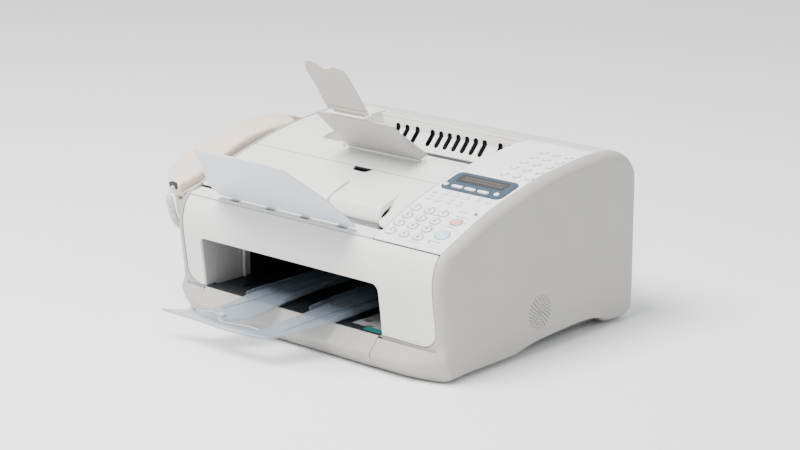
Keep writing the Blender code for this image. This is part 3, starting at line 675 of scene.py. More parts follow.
def make_side_cover(sign):
    """Deep rounded dish on one side, with its share of the chin in one skin."""
    outer = resample(side_outline(), 2.5)
    inner = relaxed_inset(outer)
    count = len(outer)
    verts = []
    for turn in [math.pi / 2 * step / SIDE_STEPS for step in range(SIDE_STEPS + 1)]:
        x = sign * (SIDE_SEAM + (HALF_WIDTH - SIDE_SEAM) * math.sin(turn))
        verts += [(x, y, z) for y, z in inner + (outer - inner) * math.cos(turn)]
    faces = ring_faces(SIDE_STEPS, count)
    faces.append(tuple(SIDE_STEPS * count + i for i in range(count)))
    seam = BAY_LEFT + 2.1 if sign < 0 else BAY_RIGHT - 0.1
    chin = [i for i in range(count) if outer[i][0] < 6.0 and outer[i][1] < 34.0]
    chin.sort(key=lambda i: (i + count // 2) % count)
    columns = [seam + (sign * SIDE_SEAM - seam) * k / CHIN_COLUMNS for k in range(CHIN_COLUMNS)]
    rows = [chin]
    for x in columns[::-1]:
        base = len(verts)
        verts += [(x, *outer[i]) for i in chin]
        rows.append([base + k for k in range(len(chin))])
    for near, far in zip(rows, rows[1:]):
        for k in range(len(chin) - 1):
            faces.append((far[k], far[k + 1], near[k + 1], near[k]))
    verts = [rounded_corner(*point) for point in verts]
    side = "left_side" if sign < 0 else "right_side"
    cover = thicken(mesh_object(side + "_skin", verts, faces), SHELL_WALL)
    if sign > 0:
        cut(cover, speaker_holes())
    place(cover, "root", SHELL_GREY, [side + "_cover"], angle=30.0)
    if sign > 0:
        disc = turned("speaker_backing", [(-0.3, 0.2), (-0.3, 19.5), (0.3, 19.5), (0.3, 0.2)],
                      (HALF_WIDTH - 4.0, SPEAKER[0], SPEAKER[1]), "X", 32)
        place(disc, "root", BAY_DARK_AND_SHADE)


def rounded_corner(x, y, z):
    """Draw the chin back towards the side, so that the corner is round when seen from above."""
    if y > 40.0 or z > 40.0:
        return (x, y, z)
    reach = max(0.0, (abs(x) - 128.0) / (HALF_WIDTH - 128.0)) ** 2
    low = max(0.0, min(1.0, (24.0 - z) / 20.0)) * max(0.0, min(1.0, (40.0 - y) / 40.0))
    return (x, y + reach * (0.85 * max(0.0, -2.5 - y) + 11.0 * low), z)


def speaker_holes():
    """Sunburst of short radial holes."""
    tools = []
    for ring, holes in enumerate((6, 10, 14, 18, 22, 26)):
        radius = 2.2 + 2.9 * ring
        for hole in range(holes):
            angle = 2 * math.pi * (hole + 0.5 * (ring % 2)) / holes
            c, s = math.cos(angle), math.sin(angle)
            shape = [(SPEAKER[0] + u * c - v * s, SPEAKER[1] + u * s + v * c)
                     for u, v in slot_shape(radius - 1.1, -0.62, radius + 1.1, 0.62, 0.5, 2)]
            tools.append(tool(shape, "X", HALF_WIDTH - 5, HALF_WIDTH + 3))
    return merge("speaker_tool", tools)


def make_chin():
    chin = extrude("chin_skin", rounded(CHIN_CORNERS, 8), "X", BAY_LEFT + 3.0, BAY_RIGHT - 1.0)
    place(soften(chin, 0.35, 2), "root", SHELL_GREY, ["chin_cover"], angle=30.0)
    inner = [(-3.6, 32.8), (7.0, 32.8), (7.0, 5.0), (-5.0, 5.0), (-14.8, 17.2)]
    seams = [extrude("seam", inner, "X", BAY_LEFT - 1.0, BAY_LEFT + 5.0),
             extrude("seam", inner, "X", BAY_RIGHT - 3.0, BAY_RIGHT + 3.0)]
    slab = [(-2.8, 33.9), (7.4, 33.9), (7.4, 28.0), (-2.8, 28.0)]
    ends = [extrude("end", slab, "X", -FLANGE_X, BAY_LEFT + 1.6),
            extrude("end", slab, "X", BAY_RIGHT + 0.4, FLANGE_X)]
    place(merge("chin_end_blocks", ends), "root", SHELL_GREY)
    seams.append(block("sill", (BAY_LEFT + 3.2, -3.4, 33.9), (BAY_RIGHT - 1.2, 9.0, 34.35), 0.1, 1))
    backing = [(1.6, 30.0), (0.0, 50.0), (-1.6, 62.0), (1.0, 62.0), (3.6, 30.0)]
    for sign in (-1, 1):
        for shape, inner_x in ((backing, 150.0), (band(offset_path(FRONT, 3.4), 1.0), 172.0)):
            seams.append(extrude("backing", shape, "X", *sorted((sign * inner_x, sign * FLANGE_X))))
    place(merge("chin_seam_shadow", seams), "root", BAY_DARK_AND_SHADE)


def make_corner_fillers():
    """Grey corners that fill in beside the front cover's rounded lower corners."""
    edge = INNER_HALF + 0.5
    turns = [-math.pi / 2 * k / 12 for k in range(13)]
    pieces = []
    for sign in (-1, 1):
        face = extrude("filler", band([(-2.5, 34.2)] + FRONT[1:], 3.2), "X",
                       *sorted((sign * 150.0, sign * edge)))
        arc = [(sign * (edge - 0.4 - CORNER + (CORNER + 0.7) * math.cos(t)),
                54.6 + (CORNER + 0.7) * math.sin(t)) for t in turns]
        shape = arc + [(sign * (edge - CORNER - 0.4), 34.15), (sign * (edge + 0.5), 34.15),
                       (sign * (edge + 0.5), 54.6)]
        boolean(face, [tool(shape, "Y", -40, 40)], "INTERSECT")
        pieces.append(face)
    place(merge("front_corner_fillers", pieces), "root", SHELL_GREY)


def make_front_cover():
    """White inverted-U cover with a rounded mouth for the paper bay."""
    inner = offset_path(FRONT, 2.8)
    inner[-1] = (2.6, 127.4)
    width = INNER_HALF - FRONT_SEAM
    cover = extrude("front_cover_skin", FRONT + inner[::-1], "X", -width, width)
    shape = rounded([(-width - 4, 145, 0), (-width, 34.6, CORNER), (BAY_LEFT, 34.6, 1.5),
                     (BAY_LEFT, MOUTH_TOP, 6), (BAY_RIGHT + 1.5, MOUTH_TOP, 8), (BAY_RIGHT + 2.0, 34.6, 1.5),
                     (width, 34.6, CORNER), (width + 4, 145, 0)], 10)
    boolean(cover, [tool(shape, "Y", -40, 40)], "INTERSECT")
    soften(cover, 0.7, 3)
    place(cover, "front_cover", SHELL_WHITE, ["front_cover"], angle=32.0)
    side = [(-1.6, 35.0), (-3.0, 50.0), (-5.4, 70.0), (-7.4, MOUTH_TOP + 1.0), (13.0, MOUTH_TOP + 1.0),
            (13.0, 35.0)]
    cheek = extrude("front_cover_return", side, "X", BAY_LEFT - 1.4, BAY_LEFT + 1.7)
    place(cheek, "front_cover", BAY_WALL)


def make_front_strip():
    """White strip along the top front edge, with four slots for the document tray's lugs."""
    outline = [(1.9, top_z(1.9) + 0.1), (10.0, 132.9), (18.9, 134.5), (19.5, 134.0), (19.5, 126.0),
               (40.0, 125.5), (60.0, 135.0), (98.5, 157.5), (98.5, 155.0), (61.0, 132.6), (40.5, 123.0),
               (17.0, 123.5), (17.0, 131.0), (6.0, 129.0), (6.0, 110.0), (3.4, 110.0), (3.4, 127.0)]
    strip = extrude("front_strip_skin", outline, "X", *COVER_SPAN)
    tools = [tool(slot_shape(x - 7.2, 5.4, x + 7.2, 12.6, 1.8), "Z", 122, 146) for x in TRAY_LUGS]
    tools.append(tool(slot_shape(-102, 44.5, 62, 63.5, 2), "Z", 118, 160))
    cut(strip, *tools)
    place(strip, "root", SHELL_WHITE, ["document_bed"])
    # Dark blocks at the bottom of the lug slots: painted shade in the wells.
    wells = [extrude("well", slot_shape(x - 7.4, 5.2, x + 7.4, 12.8, 1.5), "Z", 129.6, 130.6)
             for x in TRAY_LUGS]
    place(merge("lug_wells", wells), "root", BAY_DARK_AND_SHADE)


TRAY_LUGS = (-113.0, -61.0, -11.5, 41.0)
FEED_FRONT = 37.0
FEED_LEFT = -139.0
FEED_RIGHT = 65.0


def make_adf_cover():
    """Feeder cover with its set-back mouth, ribbed lip, finger notch and white cheek."""
    outline = band(top_path(20.4, MID_SEAM_Y - GAP), COVER_WALL)
    outline[-1] = (20.6, 136.0)
    cover = extrude("adf_cover_skin", outline, "X", *COVER_SPAN)
    mouth_shape = rounded([(FEED_LEFT, 10, 0), (CHEEK_RIGHT - 0.6, 10, 0),
                           (CHEEK_RIGHT - 0.6, CHEEK_REAR - 1.5, 3), (FEED_RIGHT - 4, CHEEK_REAR - 1.5, 1),
                           (FEED_RIGHT - 4, FEED_FRONT, 0), (FEED_LEFT, FEED_FRONT, 2)])
    mouth = tool(mouth_shape, "Z", 120, 165)
    notch_shape = rounded([(-27, 103, 0), (-27, 97.5, 2), (-23, 91.5, 2.5), (-6, 91.5, 2.5), (-2, 97.5, 2),
                           (-2, 103, 0)])
    cut(cover, mouth, tool(notch_shape, "Z", 140, 180))
    soften(cover, 0.45, 2, 45.0)
    place(cover, "adf_cover", SHELL_WHITE, ["adf_cover"])
    hoods = [soften(extrude("hood", hood_profile(lift), "X", low, high), 0.25, 2)
             for lift, low, high in ((0.5, FEED_LEFT + 0.5, -4.5), (3.2, -4.5, FEED_RIGHT + 0.6))]
    place(merge("feed_hood", hoods), "adf_cover", SHELL_WHITE)
    ribs = [((x, 37.2, 127.6), (x + 1.0, 39.0, 134.2), 0.15, 1) for x in np.arange(-130.0, 62.0, 2.3)]
    ribs.append(((-132.0, 38.4, 127.4), (62.0, 40.4, 134.6), 0.2, 1))
    place_blocks("feed_mouth_ribs", "adf_cover", GREY_AND_GAP_SHADE, ribs)
    # Dark strip behind the ribbed lip: painted shade in the feed mouth's gap.
    throat = block("feed_throat_shade", (FEED_LEFT + 1.0, 42.0, 127.0), (FEED_RIGHT - 1.0, 43.0, 141.0), 0.1, 1)
    place(throat, "adf_cover", BAY_DARK_AND_SHADE)
    # Dark pan under the finger notch: painted shade in the notch.
    pan = block("notch_shade_floor", (-27.5, 91.0, 161.8), (-1.5, 98.6, 163.0), 0.3)
    place(pan, "adf_cover", BAY_DARK_AND_SHADE)
    make_feed_cheek()


CHEEK_RIGHT = 86.6
CHEEK_REAR = 62.0


def hood_profile(lift):
    """Side outline of the feed mouth's upper lip, raised above the cover by a lift at its front."""
    crown = ((70.0, 0.08), (60.0, 0.42), (50.0, 0.80), (43.0, 1.0))
    upper = curve_through([(76.0, top_z(76.0) - 0.4)] + [(y, top_z(y) + share * lift) for y, share in crown],
                          2.0)
    front = curve_through([(43.0, top_z(43.0) + lift), (39.6, top_z(39.6) + 0.9 * lift),
                           (38.0, 145.4 + 0.8 * lift), (36.4, 142.6 + 0.5 * lift), (35.2, 139.6),
                           (35.0, 137.6), (35.4, 135.4), (36.2, 134.3), (37.4, 133.8)], 0.8)
    under = [(39.6, 134.0), (38.6, 137.0), (39.2, 141.0), (43.0, 144.6), (76.0, top_z(76.0) - 2.0)]
    return upper + front[1:] + under


def make_feed_cheek():
    """White cheek at the right end of the feed mouth, scooped down towards the deep well."""
    low, high = FEED_RIGHT - 0.2, CHEEK_RIGHT
    rings = []
    steps, points = 16, 26
    for step in range(steps + 1):
        share = step / steps
        x = low + (high - low) * share
        deep = (1 - share) ** 2
        front = 20.7 + 17.0 * deep
        ring = []
        for k in range(points + 1):
            along = k / points
            y = front + (CHEEK_REAR - front) * along
            scoop = 8.0 * deep * math.cos(0.5 * math.pi * along) ** 2
            dip = 3.2 * (1 - share) * math.sin(math.pi * along) ** 2
            ring.append((x, y, top_z(y) + 0.12 - (scoop + dip)))
        rings.append(ring + [(x, y, z - 2.2) for x, y, z in ring[::-1]])
    place(loft("feed_cheek", rings), "adf_cover", SHELL_WHITE)
    side = [(20.9, 126.5), (20.9, top_z(20.9) - 1.0), (40.0, top_z(40.0) - 1.2),
            (CHEEK_REAR, top_z(CHEEK_REAR) - 2.0), (CHEEK_REAR, 140.0), (44.0, 128.4)]
    place(extrude("feed_cheek_wall", side, "X", CHEEK_RIGHT - 1.6, CHEEK_RIGHT - 0.6), "adf_cover",
          SHELL_WHITE)


def make_document_guide():
    """Ribbed slider with two grooves that laps over the feed mouth."""
    left, right = -30.0, -6.5
    front = FEED_FRONT - 2.4
    top = [(front, 136.0), (front, 147.6), (front + 1.0, top_z(FEED_FRONT) + 2.6),
           (FEED_FRONT + 1, top_z(FEED_FRONT) + 3.8), (48, top_z(48) + 3.8), (62, top_z(62) + 3.4),
           (69, top_z(69) + 2.4), (70, top_z(70) + 0.7)]
    under = [(48, top_z(48) + 0.6), (FEED_FRONT, top_z(FEED_FRONT) + 0.5), (FEED_FRONT - 0.4, 136.0)]
    guide = extrude("document_guide_skin", top + under, "X", left, right)
    grooves = [block("tool", (left - 2, y, 150.0), (right + 2, y + 1.3, 180.0), 0.0) for y in (52.0, 56.5)]
    for groove in grooves:
        shear_onto_surface(groove, 2.6)
    cut(guide, *grooves)
    soften(guide, 0.4, 2, 40.0)
    place(guide, "document_guide", SHELL_WHITE, ["document_guide"], "shell_light")
    teeth = [((left + 3 + 5.2 * k, front - 0.5, 140.6), (left + 5.6 + 5.2 * k, front + 0.4, 147.0), 0.3)
             for k in range(4)]
    place_blocks("document_guide_teeth", "document_guide", FRAME_GREY, teeth)


def shear_onto_surface(item, lift):
    """Drop a block so that its underside follows the top surface at a height above it."""
    floor = min(v.co.z for v in item.data.vertices)
    for vertex in item.data.vertices:
        vertex.co.z += top_z(vertex.co.y) + lift - floor


RECESS_LEFT = -115.0
RECESS_RIGHT = 110.0
RECESS_FRONT = 139.0
RECESS_REAR = 236.2
WALL_PROFILE = curve_through([(139.1, 176.4), (139.8, 170.0), (142.0, 165.0), (147.0, 161.8), (156.0, 161.2)],
                             1.5)
WALL_PROFILE += [(205.0, 160.3), (217.0, 160.4), (224.5, 163.0), (236.0, 175.2), (235.8, 180.4),
                 (236.3, 186.0)]
VENT_HALF = 3.3
VENTS = [-90.5, -77.0, -62.0] + [-40.0 + 12.35 * number for number in range(7)] + [56.0, 70.0, 84.0]


def make_top_rear_cover():
    """White cover behind the middle seam, with the opening of the delivery recess."""
    path = top_path(MID_SEAM_Y + GAP + 0.3, RIDGE_Y)
    cover = extrude("top_rear_skin", band(path, COVER_WALL), "X", *COVER_SPAN)
    mouth = rounded([(RECESS_LEFT, RECESS_FRONT, 6), (140, RECESS_FRONT, 0), (140, RECESS_REAR, 0),
                     (RECESS_LEFT, RECESS_REAR, 3)])
    cut(cover, tool(mouth, "Z", 150, 205))
    soften(cover, 0.8, 3, 45.0)
    place(cover, "root", SHELL_WHITE, ["top_rear_cover"])
    lining = extrude("recess_lining", WALL_PROFILE + offset_path(WALL_PROFILE, 1.1)[::-1], "X",
                     RECESS_LEFT - 2, RECESS_RIGHT + 2)
    tools = [tool(slot_shape(x - VENT_HALF, 163.6, x + VENT_HALF, 180.6, 2.8, 5), "Y", 219, 242)
             for x in VENTS]
    tools.append(tool(slot_shape(RECESS_LEFT + 7, 205.0, RECESS_RIGHT - 7, 217.0, 2.0), "Z", 150, 175))
    cut(lining, *tools)
    soften(lining, 0.3, 2)
    place(lining, "root", SHELL_WHITE)
    for name, x, side in (("recess_left_cheek", RECESS_LEFT, -2.0),
                          ("recess_right_cheek", RECESS_RIGHT, 2.0)):
        outline = [(137.4, 175.6), (140.0, 163.0), (147.0, 160.0)] + WALL_PROFILE[-6:-2]
        outline += [(237.0, 180.4), (237.0, 186.6), (200, 184.8), (163, 180.2)]
        low, high = sorted((x, x + side))
        place(extrude(name, outline, "X", low, high), "root", SHELL_WHITE)
    lip = extrude("recess_rear_lip", band(top_path(RECESS_REAR + 0.4, RIDGE_Y + 1.0), 2.2), "X",
                  RECESS_LEFT + 2, PANEL_LEFT - GAP)
    for vertex in lip.data.vertices:
        vertex.co.z += 0.15
    # The lip gets the lighter copy of the shell grey: painted light.
    place(lip, "root", SHELL_GREY_LIT)
    corner = extrude("recess_corner_block", [(214, top_z(214) - 1), (219, top_z(219) + 2.6),
                                             (RIDGE_Y - 1.5, 191.0), (RIDGE_Y - 0.4, 190.2),
                                             (RIDGE_Y - 0.4, 186.5)], "X", -150, RECESS_LEFT)
    place(soften(corner, 0.9, 3, 40.0), "root", SHELL_WHITE)
    # Dark blocks under the exit slot, behind the vents and below the recess: painted shade inside the
    # machine.
    place_blocks("recess_shade_backing", "root", BAY_DARK_AND_SHADE, [
        ((RECESS_LEFT + 6, 204.0, 158.2), (RECESS_RIGHT - 6, 218.0, 159.2), 0.0),
        ((RECESS_LEFT - 1, 239.5, 150.0), (RECESS_RIGHT + 1, 241.0, 184.0), 0.0),
        ((RECESS_LEFT - 1, 200.0, 140.0), (RECESS_RIGHT + 1, 241.0, 141.5), 0.0)])
    place_blocks("output_tray_lugs", "root", SHELL_WHITE,
                 [((x - 1.2, 127.5, top_z(128) - 1.0), (x + 1.2, 132.5, top_z(130) + 5.0), 1.0, 3)
                  for x in (-72.0, 41.0)])
    high = top_z(MID_SEAM_Y)
    seam = block("mid_seam_shadow", (-INNER_HALF + 1.0, MID_SEAM_Y - GAP - 0.1, high - 2.6),
                 (PANEL_LEFT - 1.0, MID_SEAM_Y + GAP + 0.6, high - 0.5), 0.0)
    place(seam, "root", BAY_DARK_AND_SHADE)


def make_rear_cover():
    path = top_path(RIDGE_Y + GAP, 302.0) + rounded([(REAR_Y, 160, 0), (REAR_Y, 4, 17), (286, 4, 0)], 8)
    cover = extrude("rear_cover_skin", band(path, COVER_WALL), "X", -INNER_HALF + GAP, INNER_HALF - GAP)
    tools = [tool(slot_shape(x0 - 0.5, z0 - 0.5, x1 + 0.5, z1 + 0.5, 0.8), "Y", 292, 312)
             for x0, z0, x1, z1 in (INLET, JACKS)]
    for row in range(6):
        tools.append(tool(slot_shape(-60, 120 + 6 * row, 60, 122.6 + 6 * row, 1.2), "Y", 292, 312))
    cut(cover, *tools)
    soften(cover, 0.5, 2)
    # The rear cover gets the lighter copy of the shell grey: painted light on its upward-facing strip.
    place(cover, "root", SHELL_GREY_LIT, ["rear_cover"], "shell_grey")
    # Dark plate behind the rear vents: painted shade inside the machine.
    backing = block("rear_vent_shade", (-64, 296.5, 116), (64, 298.0, 156), 0.3)
    place(backing, "root", BAY_DARK_AND_SHADE)


INLET = (104.0, 34.0, 134.0, 56.0)
JACKS = (-140.0, 38.0, -110.5, 54.0)


def make_rear_sockets():
    """Mains inlet with three pins and a twin line jack with contacts."""
    x0, z0, x1, z1 = INLET
    inlet = extrude("power_inlet_skin", slot_shape(x0, z0, x1, z1, 1.5), "Y", 297.0, REAR_Y + 0.4)
    cavity = rounded([(x0 + 2, z0 + 2, 1), (x1 - 2, z0 + 2, 1), (x1 - 2, z1 - 7, 1), (x1 - 7, z1 - 2, 1),
                      (x0 + 7, z1 - 2, 1), (x0 + 2, z1 - 7, 1)])
    cut(inlet, tool(cavity, "Y", 299.0, 312))
    place(soften(inlet, 0.3, 2), "root", SOCKET_BLACK, ["power_inlet"])
    middle = (x0 + x1) / 2
    place_blocks("power_inlet_pins", "root", STEEL, [
        ((middle + dx - 1, 298.5, 42.5 + dz), (middle + dx + 1, 303.3, 47.5 + dz), 0.4)
        for dx, dz in ((-7, 0), (0, 2.5), (7, 0))])
    x0, z0, x1, z1 = JACKS
    jacks = extrude("line_jacks_skin", slot_shape(x0, z0, x1, z1, 1.2), "Y", 297.0, REAR_Y + 0.4)
    tools, wires = [], []
    for left in (x0 + 2, x0 + 16):
        keyed = [(left, z0 + 4), (left + 2.6, z0 + 4), (left + 2.6, z0 + 2), (left + 8.9, z0 + 2),
                 (left + 8.9, z0 + 4), (left + 11.5, z0 + 4), (left + 11.5, z1 - 2), (left, z1 - 2)]
        tools.append(tool(keyed, "Y", 299.0, 312))
        wires += [tube("wire", [(x, 299.2, z1 - 2.8), (x, 303.0, z1 - 6)], 0.25, 6)
                  for x in [left + 3.5 + 1.5 * k for k in range(4)]]
    cut(jacks, *tools)
    place(soften(jacks, 0.25, 2), "root", SOCKET_BLACK, ["line_jacks"])
    place(merge("line_jack_contacts", wires), "root", BRASS)


def make_base_pan():
    """Bottom pan with stiffening ribs and four rubber feet."""
    pan = extrude("base_pan_skin", slot_shape(-171, 9, 171, 288, 6), "Z", 4, 16)
    cut(pan, tool(slot_shape(-168.5, 11.5, 168.5, 285.5, 4), "Z", 6.5, 30))
    cut(pan, *[tool(slot_shape(-130, 60 + 24 * k, 130, 66 + 24 * k, 2.5), "Z", 3, 5) for k in range(8)])
    place(soften(pan, 0.8, 2), "root", FRAME_GREY, ["base_pan"])
    profile = [(0.0, 7.6), (0.5, 8.6), (1.5, 9.0), (3.6, 9.0), (4.6, 8.4)]
    feet = [turned("foot", profile, (x, y, 0), "Z", 28) for x in (-150.0, 150.0) for y in (34.0, 272.0)]
    place(merge("rubber_feet", feet), "root", RUBBER)


make_side_cover(-1)
make_side_cover(1)
make_chin()
make_corner_fillers()
make_front_cover()
make_front_strip()
make_adf_cover()
make_document_guide()
make_top_rear_cover()
make_rear_cover()
make_rear_sockets()
make_base_pan()

# ---------------------------------------------------------------- shaping helpers

DRAPE_STEP = 3.0


def sliced(item, places):
    """Add edge loops at places along Y so that a piece can be bent smoothly."""
    work = bmesh.new()
    work.from_mesh(item.data)
    for y in places:
        geometry = work.verts[:] + work.edges[:] + work.faces[:]
        bmesh.ops.bisect_plane(work, geom=geometry, plane_co=(0, y, 0), plane_no=(0, 1, 0), dist=1e-4)
    work.to_mesh(item.data)
    work.free()
    return item


def bend(item, rise):
    """Raise every point by a height that depends on where it is."""
    for vertex in item.data.vertices:
        vertex.co.z += rise(vertex.co.x, vertex.co.y)
    return item


def draped(item, low, high):
    """Lay a piece drawn flat in XY over the machine's top surface."""
    sliced(item, np.arange(low + DRAPE_STEP, high - 0.5 * DRAPE_STEP, DRAPE_STEP))
    return bend(item, lambda x, y: top_z(y))


def leaning(item, pivot, angle):
    """Turn a plate drawn flat in XY so that its +Y leans forward and up from the pivot."""
    turn = Matrix.Rotation(math.pi - angle, 4, "X")
    item.data.transform(Matrix.Translation((0, pivot[1], pivot[2])) @ turn)
    return item


def strokes(name, lines, width):
    """Thin printed lines from (x, y) to (x, y), lying on the top surface."""
    made = []
    for x0, y0, x1, y1 in lines:
        run = Vector((x1 - x0, y1 - y0))
        side = Vector((-run.y, run.x)).normalized() * width / 2
        outline = [(x0 + side.x, y0 + side.y), (x0 - side.x, y0 - side.y), (x1 - side.x, y1 - side.y),
                   (x1 + side.x, y1 + side.y)]
        line = extrude(name, outline, "Z", -0.16, 0.0)
        made.append(bend(line, lambda x, y: top_z(y) + 0.12))
    return merge(name, made)


# ---------------------------------------------------------------- paper bay

def make_bay():
    """Dark liner with a pale front wall, pick-up bracket, floor guides and a plain label."""
    liner = block("bay_liner_skin", (BAY_LEFT - 2.4, 8.4, 30.8), (BAY_RIGHT + 2.4, BAY_DEPTH + 2.4, 86.8),
                  0.0)
    cut(liner, block("tool", (BAY_LEFT, 0.0, BAY_FLOOR), (BAY_RIGHT, BAY_DEPTH, BAY_CEILING), 0.0))
    place(soften(liner, 0.8, 2), "root", BAY_DARK_AND_SHADE, ["bay_liner"])
    place_blocks("bay_left_wall", "root", BAY_WALL, [
        ((BAY_LEFT + 0.2, 13.2, BAY_FLOOR + 0.2), (BAY_LEFT + 1.7, 50.0, BAY_CEILING - 0.1), 0.1)])
    place_blocks("bay_wall_rib", "root", WHITE_PAINTED_SHADE, [
        ((BAY_LEFT + 1.8, 50.0, BAY_FLOOR + 0.4), (BAY_LEFT + 6.0, 54.0, BAY_CEILING - 0.4), 1.0, 3),
        ((BAY_LEFT + 0.2, 54.0, BAY_FLOOR + 0.4), (BAY_LEFT + 2.6, 62.0, BAY_CEILING - 0.4), 0.5)])
    bars = [((-62, 94, 62), (4, 98, 66), 0.8), ((-62, 94, 76), (4, 98, 79), 0.8),
            ((-62, 92, 58), (-57, 106, 84), 0.8), ((-1, 92, 58), (4, 106, 84), 0.8),
            ((-48, 96, 56), (-10, 104, 61), 1.2), ((-34, 90, 62), (-24, 97, 80), 0.8)]
    fins = [((x, 96.0, 66), (x + 1.4, 104.0, 76), 0.3, 1) for x in np.arange(-55.0, -2.0, 6.6)]
    place_blocks("pickup_bracket", "root", FRAME_GREY, bars + fins)
    guides = [((x, 24.0, BAY_FLOOR + 0.1), (x + 2.2, 150.0, BAY_FLOOR + 1.7), 0.5) for x in (-122.0, 50.5)]
    guides += [((-140, 150, BAY_FLOOR + 0.1), (90, 153, BAY_FLOOR + 14), 0.8)]
    place_blocks("bay_floor_guides", "root", BAY_DARK_AND_SHADE, guides)
    place_blocks("bay_teal_strips", "root", BAY_TEAL, [
        ((-94, 128, BAY_FLOOR + 0.2), (-47, 134, BAY_FLOOR + 12.0), 0.6),
        ((76, 0.5, BAY_FLOOR + 0.9), (99, 8.0, BAY_FLOOR + 2.4), 0.4)])
    shelf = block("bay_sill", (BAY_LEFT + 0.6, 3.2, 30.4), (BAY_RIGHT - 0.6, 12.0, BAY_FLOOR + 0.5), 0.8, 3)
    place(shelf, "root", BAY_DARK_AND_SHADE)
    label = block("bay_label", (52, 3, BAY_FLOOR + 0.6), (98, 62, BAY_FLOOR + 1.1), 0.1, 1)
    place(label, "root", SHEET_GREY)
    corners = [(56 + 13.5 * (k % 3), 8 + 13.0 * (k // 3)) for k in (1, 3, 5, 7, 9, 10)]
    place_blocks("bay_label_fields", "root", MARK_GREY, [
        ((x, y, BAY_FLOOR + 0.95), (x + 9, y + 7, BAY_FLOOR + 1.22), 0.08, 1) for x, y in corners])


PAPER_TRAY_TOP = BAY_FLOOR + 6.8
PAPER_DROOP = 0.125


def tray_sag(y):
    """Droop of the paper tray in front of the machine, eased at the sill."""
    return 0.0 if y > 8 else PAPER_DROOP * (y if y < -8 else -((8 - y) ** 2) / 32.0)


def make_paper_tray():
    """Tinted tray: two rails with turned-up edges joined by a pointed, drooping lip."""
    left_out = curve_through([(-85.6, 120), (-85.4, 57), (-84.2, -7), (-91.6, -52), (-99.5, -62.3)])
    lip_out = curve_through([(-136.6, -78.8), (-112, -79.5), (-86, -79.4), (-41, -81.6), (-8, -79.6),
                             (13, -76.2), (20.6, -72.6)])
    right_out = curve_through([(20.6, -72.6), (33, -42), (45.4, -10), (45.8, 30), (45.6, 120)])
    right_in = curve_through([(-5.6, 120), (-5.8, 59), (3.6, -12), (-2.2, -44), (-4.8, -62.4)])
    left_in = curve_through([(-58.5, -66.2), (-44.4, -57), (-34.4, -13), (-41.2, 50), (-41.6, 120)])
    outline = left_out + lip_out + right_out[1:] + right_in + left_in
    plate = extrude("paper_tray_skin", outline, "Z", -2.4, 0.0)
    sliced(plate, np.arange(-78.0, 24.0, 4.0))
    soften(plate, 0.7, 2)
    place(bend(plate, lambda x, y: PAPER_TRAY_TOP + tray_sag(y)), "paper_tray", SMOKE_CLEAR, ["paper_tray"])
    ridges = []
    for path, width in (([(-64, 116), (-64, 40), (-66, -12), (-78, -47)], 1.6),
                        ([(28, 116), (29, 24), (27, -12), (19, -56)], 1.6),
                        ([(-84.4, 116), (-84.2, 30), (-83.4, -6)], 1.4),
                        ([(-42.6, 116), (-42.0, 50), (-36.4, 0)], 1.4),
                        ([(-4.6, 116), (-4.4, 59), (2.8, 0)], 1.4),
                        ([(44.6, 116), (44.8, 30), (44.2, -6)], 1.4)):
        line = curve_through(path)
        ridge = extrude("ridge", band(line, width), "Z", -0.6, 1.1 if width > 1.5 else 3.0)
        sliced(ridge, np.arange(-60.0, 24.0, 4.0))
        ridges.append(bend(ridge, lambda x, y: PAPER_TRAY_TOP + tray_sag(y)))
    place(soften(merge("paper_tray_ridges", ridges), 0.35, 2), "paper_tray", SMOKE_CLEAR)
    # Beads along the lip in the paler clear: painted sheen on the curved edges.
    rim = curve_through([(-99.2, -63), (-71, -57.5), (-59.5, -66.8), (-32, -65.0), (-5.5, -63.4)])
    bead = [tube("bead", [(x, y - 1.2, PAPER_TRAY_TOP + tray_sag(y) - 0.3) for x, y in rim], 0.65, 8)]
    outer = curve_through([(-135, -78.0), (-112, -78.8), (-86, -78.7), (-41, -80.8), (-8, -78.8),
                           (12, -75.6)])
    bead.append(tube("bead", [(x, y + 0.6, PAPER_TRAY_TOP + tray_sag(y) - 0.5) for x, y in outer], 0.7, 8))
    place(merge("paper_tray_lip_bead", bead), "paper_tray", LIP_CLEAR_SHEEN)
    stop = block("paper_tray_stop", (-69, -63, PAPER_TRAY_TOP - 8.0), (-60, -57.6, PAPER_TRAY_TOP - 4.6), 0.7,
                 3)
    place(stop, "paper_tray", WHITE_PAINTED_SHADE)


# ---------------------------------------------------------------- feeder trays

TRAY_PIVOT = (-30.0, 9.5, 133.0)
TRAY_ANGLE = math.radians(40.0)
OUTPUT_PIVOT = (-14.5, 130.0, 178.6)
OUTPUT_ANGLE = math.radians(44.0)
TONGUE_PIVOT = (-20.5, 84.3, 226.3)
TONGUE_ANGLE = math.radians(56.0)


